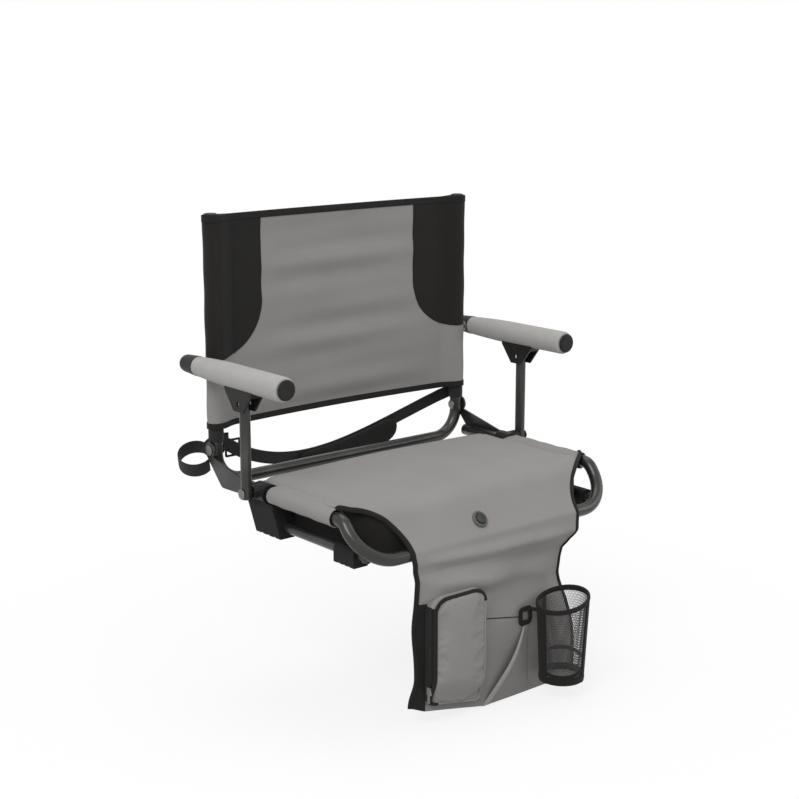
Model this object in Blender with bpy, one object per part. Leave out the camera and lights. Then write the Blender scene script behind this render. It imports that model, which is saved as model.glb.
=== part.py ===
"""Heated stadium seat: folding steel frame, padded seat, sling back, armrests and a hanging pocket flap.

Metres, +Z up. The bench top is z = 0, the sitter faces -Y and +X is the sitter's left hand side.
"""

import math

import bmesh
import bpy
import numpy as np
from mathutils import Matrix, Vector, geometry

# Driving dimensions of the steel frame
BACK_WIDTH = 0.508
BACK_HEIGHT = 0.320
TUBE_RADIUS = 0.0095
TUBE_WALL = 0.0012
SEAT_TUBE_Z = 0.067
TUBE_REAR_Y = 0.178
FRONT_BAR_Y = -0.152
SEAT_SLOPE = math.radians(51.0)
SLOPE_BEND = 0.020
FRONT_BEND = 0.058
HINGE_Y = 0.205
HINGE_Z = 0.107
CROSS_TUBE_Z = 0.056
BACK_BEND = 0.045
PLATE_THICKNESS = 0.003
EYE_RADIUS = 0.0125
NECK_DROP = 0.0075
PIN_RADIUS = 0.004
PIN_HEAD_RADIUS = 0.0080
PIN_HEAD_HEIGHT = 0.0022
PLUG_LENGTH = 0.012
PLUG_RIM = 0.003

# Driving dimensions of the base
RAIL_RADIUS = 0.008
RAIL_INSET = 0.018
RAIL_Z = 0.017
FOOT_WIDTH = 0.026
REAR_FOOT_LENGTH = 0.062
FRONT_FOOT_LENGTH = 0.045
FRONT_FOOT_Y = -0.100
SOLE_GROOVE_DEPTH = 0.0015
SOLE_GROOVE_WIDTH = 0.004

# Driving dimensions of the armrests
LINK_LENGTH = 0.1335
LINK_OFFSET_Z = 0.036
POST_PIVOT_Y = 0.080
POST_RADIUS = 0.008
POST_END = 0.0085
COLLAR_WALL = 0.005
COLLAR_LENGTH = 0.028
BOSS_RADIUS = 0.010
TRUNNION_RADIUS = 0.0035
ARM_REAR_Y = 0.234
ARM_FRONT_Y = -0.025
ARM_BAR_RADIUS = 0.007
PAD_FRONT_RADIUS = 0.018
PAD_REAR_RADIUS = 0.0125
PAD_TAPER_LENGTH = 0.130
FRONT_CAP_RADIUS = 0.0148
REAR_CAP_RADIUS = 0.0110
CAP_THICKNESS = 0.005
ARM_SIDE_GAP = 0.0025
CHEEK = 0.003
BRACKET_TOP_LENGTH = 0.068
BRACKET_BOTTOM_LENGTH = 0.024
BRACKET_TIP = 0.011

# Driving dimensions of the cloth and padding
CLOTH = 0.0015
SEAT_REAR_Y = 0.110
SEAT_TOP_ROLL = 0.045
SEAT_CROWN = 0.004
SLEEVE_REAR_Y = 0.058
REAR_TUCK = 0.008
ROLL_SWELL = 0.4
REAR_SWELL = 0.3
WRAP_END = math.radians(300)
NOTCH_DEPTH = 0.068
HEATER_THICKNESS = 0.0012
HEATER_WIDTH = 0.008
HEATER_PITCH = 0.021
HEATER_PASSES = 7
HEATER_HALF_LENGTH = 0.175
FOAM_MARGIN = 0.024
BASE_CLOTH_Z = 0.014
BASE_SIDE_GAP = 0.006
BASE_EDGE_INSET = 0.003
SIDE_PANEL_INNER_X = 0.155
SIDE_PANEL_CORNER_Z = 0.327
SIDE_PANEL_CORNER_DROP = 0.082
BACK_BOW = 0.010

# Driving dimensions of the heater button
BUTTON_X = -0.025
BUTTON_UP_SLOPE = 0.022
BUTTON_RADIUS = 0.008
BUTTON_HEIGHT = 0.0032
BUTTON_LIFT = 0.0018
BEZEL_WIDTH = 0.0045
BEZEL_HEIGHT = 0.0034
CONTROLLER_SIZE = (0.030, 0.020, 0.0085)

# Driving dimensions of the flap and its pockets
FLAP_WIDTH = 0.316
FLAP_TOP_DROP = 0.0075
FLAP_BOTTOM_Z = -0.244
FLAP_HEM_LIFT = 0.0255
FLAP_HEM_FLAT_X = -0.030
FLAP_CURL = 0.030
FLAP_CURL_Z = -0.086
FLAP_CURL_SPAN = 0.055
FLAP_CURL_START_X = 0.094
FLAP_SIDE_CURL = 0.006
FLAP_SIDE_CURL_Z = -0.100
FLAP_SIDE_CURL_SPAN = 0.035
FLAP_CORNER_CURL = 0.014
FLAP_CORNER_CURL_HEIGHT = 0.050
ZIP_POCKET_LEFT_X = -0.143
ZIP_POCKET_WIDTH = 0.095
ZIP_POCKET_TOP_Z = -0.051
ZIP_POCKET_HEM_RISE = 0.013
ZIP_POCKET_DEPTH = 0.030
ZIP_POCKET_TOP_CORNER = 0.022
ZIP_POCKET_LOW_CORNER = 0.008
ZIP_POCKET_CROWN = 0.004
ZIP_POCKET_EASE = 0.0045
ZIP_POCKET_ROUND = 0.0075
ZIP_POCKET_FOOT_SHARE = 0.45
ZIP_POCKET_FOOT_START = 0.72
ZIP_MIDDLE = 0.012
ZIP_TAPE_WIDTH = 0.010
ZIP_TAPE_THICKNESS = 0.0012
ZIP_SLIDER_SIZE = (0.003, 0.008, 0.012)
ZIP_SLIDER_RISE = 0.016
ZIP_PULL_LENGTH = 0.018
MIDDLE_POCKET_RIGHT_X = 0.058
MIDDLE_POCKET_TOP_Z = -0.138
MIDDLE_POCKET_TOP_WIDTH = 0.020
MIDDLE_POCKET_LOW_WIDTH = 0.090
MIDDLE_POCKET_BULGE = 0.015
TAB_SIZE = (0.028, 0.002, 0.030)
CUP_X = 0.090
CUP_RIM_Z = -0.100
CUP_HEIGHT = 0.120
CUP_RADIUS = 0.038
CUP_TAPER = 0.006
CUP_SLANT = 0.22
CUP_RIM_RADIUS = 0.003
CUP_BASE_THICKNESS = 0.002

# Driving dimensions of the carrying strap
STRAP_WIDTH = 0.020
STRAP_THICKNESS = 0.002
STRAP_SAG = 0.070
STRAP_BOW = 0.028
STRAP_LOW_X = -0.050
LOOP_TURN = (math.radians(140), math.radians(443))
SLACK_SHARE = 0.90
STRAP_PAD_X = 0.035
STRAP_PAD_LENGTH = 0.200
STRAP_PAD_HEIGHT = 0.040
STRAP_PAD_THICKNESS = 0.009
STRAP_PAD_DROP = 0.012
TAIL_START_X = 0.037
TAIL_START_DROP = 0.020
TAIL_LOOP_RADIUS = 0.026
TAIL_LOOP_X = -0.012
TAIL_LOOP_Y = 0.017
TAIL_LOOP_DROP = 0.044
TAIL_LEAN = math.radians(30)
TAIL_FACING = math.radians(40)
TAIL_TURN = (math.radians(50), math.radians(330))

# Fits
CLEARANCE = 0.0003
RUNNING_FIT = 0.0004
SIDE_PLAY = 0.0005
LAYER_GAP = 0.0008

# Facets
LOOP_POINTS = 15
ROUND_SIDES = 14
SMALL_SIDES = 12
BEND_STEPS = 5
FLAT_STEPS = 3
ROLL_STEPS = 5
SLOPE_STEPS = 4
WRAP_STEPS = 11
SEAT_COLUMNS = 13
UNDER_COLUMNS = 9
FLAP_COLUMNS = 16
FLAP_CURL_COLUMNS = 4
FLAP_ROWS = 13
POCKET_LINES = 9
CUP_SIDES = 20
CUP_LEVELS = 4
RIM_POINTS = 6
PANEL_COLUMNS = 11
SIDE_PANEL_COLUMNS = 5
CORNER_STEPS = 6
POUCH_SHARES = (0.75, 0.4)

# Sizes that follow from the driving dimensions
SLEEVE_INNER = TUBE_RADIUS + CLEARANCE
SLEEVE_RADIUS = SLEEVE_INNER + CLOTH
TUBE_BORE = TUBE_RADIUS - TUBE_WALL
POST_X = BACK_WIDTH / 2 - SLEEVE_RADIUS
FRONT_BAR_Z = SLEEVE_RADIUS + CLEARANCE
ARM_X = BACK_WIDTH / 2 + ARM_SIDE_GAP + PAD_FRONT_RADIUS
ARM_Z = HINGE_Z + LINK_LENGTH
POST_PIVOT_Z = HINGE_Z - LINK_OFFSET_Z
LINK_TOP_Z = POST_PIVOT_Z + LINK_LENGTH
PLATE_X = POST_X + TUBE_RADIUS + CLEARANCE
RAIL_X = POST_X - RAIL_INSET
STRAP_Z = HINGE_Z + EYE_RADIUS + 2 * CLEARANCE + STRAP_WIDTH / 2
PANEL_BOTTOM_Z = STRAP_Z + STRAP_WIDTH / 2 + 2 * CLEARANCE
PANEL_TOP_Z = PANEL_BOTTOM_Z + BACK_HEIGHT
PANEL_HALF_WIDTH = POST_X - SLEEVE_RADIUS - CLEARANCE
SEAT_TOP_Z = SEAT_TUBE_Z + TUBE_RADIUS + CLEARANCE
SLOPE_DROP = SEAT_TUBE_Z - FRONT_BAR_Z
FLAP_HALF_WIDTH = FLAP_WIDTH / 2
FLAP_BACK_Y = FRONT_BAR_Y - SLEEVE_RADIUS - CLEARANCE
FLAP_FRONT_Y = FLAP_BACK_Y - CLOTH
HEATER_DEPTH = CLOTH + CLEARANCE
FOAM_DEPTH = HEATER_DEPTH + HEATER_THICKNESS + CLEARANCE
BASE_HALF_WIDTH = RAIL_X - RAIL_RADIUS - BASE_SIDE_GAP
REAR_FOOT_Y = POST_PIVOT_Y
COLLAR_RADIUS = SLEEVE_INNER + COLLAR_WALL
CUP_Y = FLAP_FRONT_Y - CLEARANCE - CUP_RIM_RADIUS - CUP_RADIUS
SIDES = {"left": -1, "right": 1}


def clear_scene():
    for obj in list(bpy.data.objects):
        bpy.data.objects.remove(obj, do_unlink=True)


def material(name, colour, roughness, metallic=0.0):
    """A Principled material, made once for each name."""
    found = bpy.data.materials.get(name)
    if found:
        return found
    made = bpy.data.materials.new(name)
    made.use_nodes = True
    shader = made.node_tree.nodes["Principled BSDF"]
    shader.inputs["Base Color"].default_value = (*colour, 1.0)
    shader.inputs["Roughness"].default_value = roughness
    shader.inputs["Metallic"].default_value = metallic
    return made


def steel():
    return material("gunmetal_steel", (0.062, 0.062, 0.060), 0.42, 0.6)


def bright_pin():
    return material("pin_steel", (0.20, 0.20, 0.20), 0.35, 1.0)


def black_plastic():
    return material("black_plastic", (0.018, 0.018, 0.018), 0.5)


def black_rubber():
    return material("black_rubber", (0.020, 0.020, 0.020), 0.8)


def grey_cloth():
    return material("grey_cloth", (0.29, 0.28, 0.275), 0.9)


def black_cloth():
    return material("black_cloth", (0.020, 0.019, 0.019), 0.9)


def solid(name, points, faces, finish, smooth=True):
    """A named object from points and faces, with its faces turned outwards."""
    mesh = bpy.data.meshes.new(name)
    mesh.from_pydata([tuple(map(float, p)) for p in points], [], faces)
    work = bmesh.new()
    work.from_mesh(mesh)
    bmesh.ops.recalc_face_normals(work, faces=work.faces)
    work.to_mesh(mesh)
    work.free()
    mesh.materials.append(finish)
    if smooth:
        mesh.shade_smooth()
        mesh.set_sharp_from_angle(angle=math.radians(35))
    obj = bpy.data.objects.new(name, mesh)
    bpy.context.scene.collection.objects.link(obj)
    return obj


def shell(name, outside, inside, finish, ring=False):
    """Closes two matching grids of points into one solid. A ring joins its last column to its first."""
    rows, columns = outside.shape[:2]
    points = np.concatenate([outside.reshape(-1, 3), inside.reshape(-1, 3)])

    def at(skin, row, column):
        return (skin * rows + row) * columns + column % columns

    spans = columns if ring else columns - 1
    faces = []
    for skin in (0, 1):
        for row in range(rows - 1):
            for col in range(spans):
                quad = [at(skin, row, col), at(skin, row, col + 1)]
                quad += [at(skin, row + 1, col + 1), at(skin, row + 1, col)]
                faces.append(quad if skin == 0 else quad[::-1])
    for row in (0, rows - 1):
        for col in range(spans):
            faces.append([at(0, row, col), at(1, row, col), at(1, row, col + 1), at(0, row, col + 1)])
    for col in () if ring else (0, columns - 1):
        for row in range(rows - 1):
            faces.append([at(0, row, col), at(1, row, col), at(1, row + 1, col), at(0, row + 1, col)])
    return solid(name, points, faces, finish)


def loft(name, rings, finish, smooth=True):
    """A solid through a row of rings with the same number of points, closed by a face at each end."""
    rings = np.asarray(rings, float)
    count, around = rings.shape[:2]
    faces = [list(range(around)), list(range((count - 1) * around, count * around))]
    for row in range(count - 1):
        for col in range(around):
            after = (col + 1) % around
            here, there = row * around, (row + 1) * around
            faces.append([here + col, here + after, there + after, there + col])
    return solid(name, rings.reshape(-1, 3), faces, finish, smooth)


def turned(axis, centre, stations, sides=SMALL_SIDES):
    """Rings of a turned shape: each station is a place along the axis and a radius there."""
    turns = 2 * math.pi * (np.arange(sides) + 0.5) / sides
    axis_index = "XYZ".index(axis)
    first, second = [i for i in range(3) if i != axis_index]
    rings = np.zeros((len(stations), sides, 3))
    for ring, (place, radius) in zip(rings, stations):
        ring[:, axis_index] = place
        ring[:, first] = centre[0] + radius * np.cos(turns)
        ring[:, second] = centre[1] + radius * np.sin(turns)
    return rings


def rounded_path(corners, radii, steps=BEND_STEPS):
    """Points along straight runs between corners, with an arc of the given radius at each inner corner."""
    corners = [Vector(c) for c in corners]
    path = [corners[0]]
    for before, corner, after, radius in zip(corners, corners[1:], corners[2:], radii):
        into = (before - corner).normalized()
        out = (after - corner).normalized()
        half = into.angle(out) / 2
        reach = radius / math.tan(half)
        centre = corner + (into + out).normalized() * (radius / math.sin(half))
        start = corner + into * reach - centre
        turn = math.pi - 2 * half
        axis = start.cross(corner + out * reach - centre).normalized()
        for step in range(steps + 1):
            path.append(centre + Matrix.Rotation(turn * step / steps, 3, axis) @ start)
    path.append(corners[-1])
    return np.array(path)


def tube_rings(path, radius, sides=ROUND_SIDES):
    """Rings of a round tube along a path, carried along it without twist."""
    path = np.asarray(path, float)
    runs = np.diff(path, axis=0)
    runs /= np.linalg.norm(runs, axis=1)[:, None]
    tangents = np.vstack([runs[:1], runs[:-1] + runs[1:], runs[-1:]])
    tangents /= np.linalg.norm(tangents, axis=1)[:, None]
    start = Vector(tangents[0])
    side = start.orthogonal().normalized()
    turns = 2 * math.pi * (np.arange(sides) + 0.5) / sides
    rings = []
    for index, (place, tangent) in enumerate(zip(path, tangents)):
        along = Vector(tangent)
        if index:
            side = start.rotation_difference(along) @ side
            start = along
        up = along.cross(side)
        stretch = 1.0
        if 0 < index < len(path) - 1:
            stretch = 1.0 / max(0.5, float(runs[index] @ tangent))
        bend = Vector(np.cross(runs[max(index - 1, 0)], runs[min(index, len(runs) - 1)]))
        ring = np.outer(np.cos(turns), side) + np.outer(np.sin(turns), up)
        if bend.length > 1e-6:
            across = np.array(bend.normalized().cross(along))
            ring += np.outer(ring @ across, across) * (stretch - 1.0)
        rings.append(place + radius * ring)
    return np.array(rings)


def hollow_tube(name, path, radius, bore, finish, sides=ROUND_SIDES):
    return shell(name, tube_rings(path, radius, sides), tube_rings(path, bore, sides), finish, ring=True)


def extruded(name, outline, axis, start, end, finish):
    """A flat outline pushed out along an axis. Outline points are the other two coordinates in order."""
    axis_index = "XYZ".index(axis)
    rings = [np.insert(np.asarray(outline, float), axis_index, place, axis=1) for place in (start, end)]
    return loft(name, rings, finish, smooth=False)


def box(name, low, high, finish):
    outline = [(low[0], low[1]), (high[0], low[1]), (high[0], high[1]), (low[0], high[1])]
    return extruded(name, outline, "Z", low[2], high[2], finish)


def combine(obj, tool, operation):
    """A Boolean on the object by a hidden tool."""
    tool.hide_render = True
    tool.display_type = "WIRE"
    change = obj.modifiers.new(tool.name, "BOOLEAN")
    change.operation = operation
    change.solver = "EXACT"
    change.object = tool


def drill(obj, tool_name, axis, centre, start, end, radius):
    tool = loft(tool_name, turned(axis, centre, [(start, radius), (end, radius)]), black_plastic())
    combine(obj, tool, "DIFFERENCE")


def circle(centre, radius, sides=24):
    turns = 2 * math.pi * np.arange(sides) / sides
    return [(centre[0] + radius * math.cos(t), centre[1] + radius * math.sin(t)) for t in turns]


def rounded_rectangle(low, high, radii, steps=4):
    """Corners in order low-left, low-right, high-right, high-left, each with its own radius."""
    signs = ((-1, -1), (1, -1), (1, 1), (-1, 1))
    outline = []
    for quarter, ((sx, sy), radius) in enumerate(zip(signs, radii)):
        centre_x = (high[0] if sx > 0 else low[0]) - sx * radius
        centre_y = (high[1] if sy > 0 else low[1]) - sy * radius
        for step in range(steps + 1):
            turn = math.pi * (1.0 + quarter / 2 + step / steps / 2)
            outline.append((centre_x + radius * math.cos(turn), centre_y + radius * math.sin(turn)))
    return outline


def joint_empty(name, place):
    empty = bpy.data.objects.new(name, None)
    empty.location = place
    empty.empty_display_size = 0.03
    bpy.context.scene.collection.objects.link(empty)
    return empty


def carry(parent, *objects):
    """Parents objects to an empty on their joint's axis, where they stand."""
    bpy.context.view_layer.update()
    for obj in objects:
        obj.parent = parent
        obj.matrix_parent_inverse = parent.matrix_world.inverted()


# Seat frame and base


def seat_frame_path():
    bend_y = FRONT_BAR_Y + SLOPE_DROP / math.tan(SEAT_SLOPE)
    half = [(POST_X, TUBE_REAR_Y, SEAT_TUBE_Z), (POST_X, bend_y, SEAT_TUBE_Z)]
    half.append((POST_X, FRONT_BAR_Y, FRONT_BAR_Z))
    corners = half + [(-x, y, z) for x, y, z in reversed(half)]
    return rounded_path(corners, [SLOPE_BEND, FRONT_BEND, FRONT_BEND, SLOPE_BEND])


def rail_front_y():
    """Where the rail's centre line meets the axis of the front bend, a little way in."""
    across = FRONT_BEND - RAIL_INSET
    up_slope = FRONT_BEND - math.sqrt(FRONT_BEND**2 - across**2)
    return FRONT_BAR_Y + up_slope * math.cos(SEAT_SLOPE) + TUBE_RADIUS / 3


def build_seat_frame():
    hollow_tube("seat_frame", seat_frame_path(), TUBE_RADIUS, TUBE_BORE, steel())
    for side, sign in SIDES.items():
        spigot = TUBE_BORE - CLEARANCE
        seat = TUBE_REAR_Y + CLEARANCE
        stations = [(TUBE_REAR_Y - PLUG_LENGTH, spigot), (seat, spigot), (seat, TUBE_RADIUS)]
        stations += [(seat + PLUG_RIM / 2, TUBE_RADIUS), (seat + PLUG_RIM, TUBE_RADIUS * 0.7)]
        rings = turned("Y", (sign * POST_X, SEAT_TUBE_Z), stations)
        loft(f"tube_plug_{side}", rings, black_plastic())


def sole_grooves(foot, side, length, centre_y):
    """Three tread grooves across the sole of a foot."""
    for index in (-1, 0, 1):
        y = centre_y + index * length / 4
        x = SIDES[side] * RAIL_X
        half = FOOT_WIDTH / 2 + CLOTH
        low = (x - half, y - SOLE_GROOVE_WIDTH / 2, -SOLE_GROOVE_DEPTH)
        high = (x + half, y + SOLE_GROOVE_WIDTH / 2, SOLE_GROOVE_DEPTH)
        tool = box(f"groove_{foot.name}_{index + 1}", low, high, black_rubber())
        combine(foot, tool, "DIFFERENCE")


def build_base():
    rear_end = REAR_FOOT_Y + REAR_FOOT_LENGTH / 4
    wide_frame = loft("frame_room", tube_rings(seat_frame_path(), SLEEVE_INNER), steel())
    for side, sign in SIDES.items():
        x = sign * RAIL_X
        rail_path = [(x, rear_end, RAIL_Z), (x, rail_front_y(), RAIL_Z)]
        rail = hollow_tube(f"base_rail_{side}", rail_path, RAIL_RADIUS, RAIL_RADIUS - TUBE_WALL, steel())
        combine(rail, wide_frame, "DIFFERENCE")
        half = FOOT_WIDTH / 2
        room = RAIL_RADIUS + CLEARANCE
        horn = TUBE_RADIUS - TUBE_WALL
        section = [(x - sign * half, 0.0), (x + sign * half, 0.0)]
        section += [(sign * (POST_X + horn), SEAT_TUBE_Z - 2 * TUBE_RADIUS)]
        section += [(sign * (POST_X + horn), SEAT_TUBE_Z - TUBE_WALL)]
        section += [(sign * (POST_X - horn), SEAT_TUBE_Z - TUBE_WALL)]
        section += [(x - sign * half, RAIL_Z + RAIL_RADIUS * 1.6)]
        start = REAR_FOOT_Y - REAR_FOOT_LENGTH / 2
        rear = extruded(f"rear_foot_{side}", section, "Y", start, start + REAR_FOOT_LENGTH, black_rubber())
        ends = (start - CLOTH, start + REAR_FOOT_LENGTH + CLOTH)
        stations = [(y, COLLAR_RADIUS + CLEARANCE) for y in ends]
        rings = turned("Y", (sign * POST_X, SEAT_TUBE_Z), stations, ROUND_SIDES)
        combine(rear, loft(f"collar_room_{side}", rings, black_rubber()), "DIFFERENCE")
        bore_end = rear_end + CLEARANCE
        drill(rear, f"rail_bore_{side}", "Y", (x, RAIL_Z), start - 2 * CLOTH, bore_end, room)
        sole_grooves(rear, side, REAR_FOOT_LENGTH, REAR_FOOT_Y)
        top = RAIL_Z + RAIL_RADIUS * 1.5
        radii = [FOOT_WIDTH / 16, FOOT_WIDTH / 16, FOOT_WIDTH / 3, FOOT_WIDTH / 3]
        outline = rounded_rectangle((x - half, 0.0), (x + half, top), radii, steps=3)
        start = FRONT_FOOT_Y - FRONT_FOOT_LENGTH / 2
        end = start + FRONT_FOOT_LENGTH
        front = extruded(f"front_foot_{side}", outline, "Y", start, end, black_rubber())
        drill(front, f"foot_bore_{side}", "Y", (x, RAIL_Z), start - CLOTH, end + CLOTH, room)
        sole_grooves(front, side, FRONT_FOOT_LENGTH, FRONT_FOOT_Y)


def build_hinges():
    """The plates on the side tubes and the rivets that the backrest turns on.

    A plate's top edge meets its eye low down, so that the post, its sleeve and the strap fold down past it.
    """
    for side, sign in SIDES.items():
        rear = TUBE_REAR_Y - TUBE_RADIUS
        front = POST_PIVOT_Y + COLLAR_LENGTH / 2 + SIDE_PLAY + TUBE_RADIUS
        dots = circle((front, SEAT_TUBE_Z), TUBE_RADIUS)
        dots += circle((rear, SEAT_TUBE_Z), TUBE_RADIUS * 1.2)
        eye = circle((HINGE_Y, HINGE_Z), EYE_RADIUS)
        dots += [dot for dot in eye if dot[1] < HINGE_Z - NECK_DROP]
        hull = geometry.convex_hull_2d([Vector(d) for d in dots])
        faces = sorted((sign * PLATE_X, sign * (PLATE_X + PLATE_THICKNESS)))
        plate = extruded(f"hinge_plate_{side}", [dots[i] for i in hull], "X", *faces, steel())
        combine(plate, extruded(f"eye_disc_{side}", eye, "X", *faces, steel()), "UNION")
        ends = (sign * (PLATE_X - PLATE_THICKNESS), sign * (PLATE_X + 2 * PLATE_THICKNESS))
        drill(plate, f"eye_{side}", "X", (HINGE_Y, HINGE_Z), *ends, PIN_RADIUS + RUNNING_FIT)
        outer = PLATE_X + PLATE_THICKNESS + CLEARANCE
        inner = POST_X - TUBE_RADIUS - CLEARANCE
        stations = [(outer + PIN_HEAD_HEIGHT, PIN_HEAD_RADIUS / 2)]
        stations += [(outer + PIN_HEAD_HEIGHT / 2, PIN_HEAD_RADIUS)]
        stations += [(outer, PIN_HEAD_RADIUS), (outer, PIN_RADIUS), (inner, PIN_RADIUS)]
        stations += [(inner, PIN_HEAD_RADIUS), (inner - PIN_HEAD_HEIGHT, PIN_HEAD_RADIUS / 2)]
        rings = turned("X", (HINGE_Y, HINGE_Z), [(sign * x, r) for x, r in stations])
        loft(f"hinge_pin_{side}", rings, bright_pin())


# Padded seat


def seat_rows(last_up_slope=None, wrapped=False):
    """Stations along the seat from rear to front, as (part, value) pairs of the seat's profile."""
    flat_end = flat_front_y()
    flats = [SEAT_REAR_Y, SEAT_REAR_Y - REAR_TUCK, SLEEVE_REAR_Y + REAR_TUCK, SLEEVE_REAR_Y]
    rows = [("flat", y) for y in flats]
    rows += [("flat", y) for y in np.linspace(SLEEVE_REAR_Y, flat_end, FLAT_STEPS + 1)[1:]]
    rows += [("roll", turn) for turn in np.linspace(0.0, SEAT_SLOPE, ROLL_STEPS + 1)[1:]]
    last = 0.0 if last_up_slope is None else last_up_slope
    rows += [("slope", far) for far in np.linspace(slope_length(), last, SLOPE_STEPS + 1)[1:]]
    if wrapped:
        rows += [("wrap", turn) for turn in np.linspace(SEAT_SLOPE, WRAP_END, WRAP_STEPS + 1)[1:]]
    return rows


def slope_corner_y():
    """Where the seat's flat top and its front slope would meet."""
    tangent_z = FRONT_BAR_Z + SLEEVE_RADIUS * math.cos(SEAT_SLOPE)
    tangent_y = FRONT_BAR_Y - SLEEVE_RADIUS * math.sin(SEAT_SLOPE)
    return tangent_y + (SEAT_TOP_Z - tangent_z) / math.tan(SEAT_SLOPE)


def flat_front_y():
    return slope_corner_y() + SEAT_TOP_ROLL * math.tan(SEAT_SLOPE / 2)


def slope_length():
    """The straight run of the slope, from the front bar's sleeve up to the roll."""
    tangent_z = FRONT_BAR_Z + SLEEVE_RADIUS * math.cos(SEAT_SLOPE)
    whole = (SEAT_TOP_Z - tangent_z) / math.sin(SEAT_SLOPE)
    return whole - SEAT_TOP_ROLL * math.tan(SEAT_SLOPE / 2)


def profile_point(part, value, depth):
    """The (y, z) of the seat's profile at a station, a depth below the top cloth."""
    if part == "flat":
        return value, SEAT_TOP_Z - depth
    if part == "roll":
        reach = SEAT_TOP_ROLL - depth
        centre_z = SEAT_TOP_Z - SEAT_TOP_ROLL
        return flat_front_y() - reach * math.sin(value), centre_z + reach * math.cos(value)
    angle = SEAT_SLOPE if part == "slope" else value
    up_slope = value if part == "slope" else 0.0
    reach = SLEEVE_RADIUS - depth
    y = FRONT_BAR_Y - reach * math.sin(angle) + up_slope * math.cos(SEAT_SLOPE)
    return y, FRONT_BAR_Z + reach * math.cos(angle) + up_slope * math.sin(SEAT_SLOPE)


def seat_half_width(part, value):
    """Half the width of the seat cloth: full beside the sleeves, scooped out at the front corners."""
    if part == "flat":
        tuck = (value - SLEEVE_REAR_Y) / REAR_TUCK
        return PANEL_HALF_WIDTH - REAR_TUCK * min(1.0, max(0.0, tuck))
    if part == "roll":
        gone = 0.5 * value / SEAT_SLOPE
    elif part == "slope":
        gone = 1.0 - 0.5 * value / slope_length()
    else:
        gone = 1.0
    return PANEL_HALF_WIDTH - NOTCH_DEPTH * math.sin(min(1.0, gone) * math.pi / 2)


def crown(part, value, across):
    """How far the padded seat swells above its flat profile; across runs from -1 to 1."""
    strength = {"flat": 1.0, "roll": 1.0 - (1.0 - ROLL_SWELL) * value / SEAT_SLOPE}.get(part, 0.0)
    if part == "slope":
        strength = ROLL_SWELL * value / slope_length()
    if part == "flat" and value > SLEEVE_REAR_Y:
        behind = (value - SLEEVE_REAR_Y) / (SEAT_REAR_Y - SLEEVE_REAR_Y)
        strength = 1.0 - (1.0 - REAR_SWELL) * behind
    return SEAT_CROWN * strength * (1.0 - across**2)


def seat_skin(rows, depth, columns, margin=0.0):
    """A grid of points at one depth of the seat, a margin in from the cloth's edge."""
    skin = np.zeros((len(rows), columns, 3))
    for line, (part, value) in zip(skin, rows):
        half = seat_half_width(part, value)
        y, z = profile_point(part, value, depth)
        shares = np.linspace(-1.0, 1.0, columns) * (half - margin) / half
        line[:, 0] = shares * half
        swell = np.array([crown(part, value, s) for s in shares])
        tilt = {"flat": 0.0, "roll": value}.get(part, SEAT_SLOPE)
        line[:, 1] = y - swell * math.sin(tilt)
        line[:, 2] = z + swell * math.cos(tilt)
    return skin


def build_seat_layers():
    rows = seat_rows(wrapped=True)
    cover = material("seat_cloth", (0.30, 0.29, 0.285), 0.9)
    shell("seat_cover", seat_skin(rows, 0.0, SEAT_COLUMNS), seat_skin(rows, CLOTH, SEAT_COLUMNS), cover)
    foam_front = base_front() + (CLOTH + LAYER_GAP) / math.cos(SEAT_SLOPE)
    foam_rows = seat_rows(last_up_slope=foam_front)[1:]
    foam = material("foam", (0.62, 0.60, 0.52), 0.95)
    top = seat_skin(foam_rows, FOAM_DEPTH, UNDER_COLUMNS, FOAM_MARGIN)
    foot = np.array(top)
    foot[:, :, 2] = BASE_CLOTH_Z + CLOTH + LAYER_GAP
    shell("seat_foam", top, foot, foam)
    build_base_cloth()
    for side, sign in SIDES.items():
        path = [(sign * POST_X, y, SEAT_TUBE_Z) for y in (SLEEVE_REAR_Y, flat_front_y())]
        hollow_tube(f"seat_sleeve_{side}", path, SLEEVE_RADIUS, SLEEVE_INNER, cover)


def base_front():
    """How far up the slope the front wall of the base cloth meets it, just behind the controller."""
    reach = CONTROLLER_SIZE[2] * math.sin(SEAT_SLOPE) + CLEARANCE
    return BUTTON_UP_SLOPE + CONTROLLER_SIZE[1] / 2 + reach / math.cos(SEAT_SLOPE)


def build_base_cloth():
    """The black cloth round the sides and foot of the foam: a tub between the base rails, open at the top."""
    edge = []
    for part, value in seat_rows(last_up_slope=base_front()):
        half = min(BASE_HALF_WIDTH, seat_half_width(part, value) - BASE_EDGE_INSET)
        edge.append((half, *profile_point(part, value, HEATER_DEPTH)))
    brim = np.array(edge + [(-x, y, z) for x, y, z in reversed(edge)])
    foot = np.array(brim)
    foot[:, 2] = BASE_CLOTH_Z
    around = len(brim)
    faces = [list(range(around, 2 * around))]
    for col in range(around):
        after = (col + 1) % around
        faces.append([col, after, around + after, around + col])
    tub = solid("seat_bottom_cover", np.concatenate([brim, foot]), faces, black_cloth(), smooth=False)
    wall = tub.modifiers.new("cloth", "SOLIDIFY")
    wall.thickness = CLOTH
    wall.offset = -1.0 if tub.data.polygons[0].normal.z < 0 else 1.0
    wall.use_even_offset = True


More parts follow.
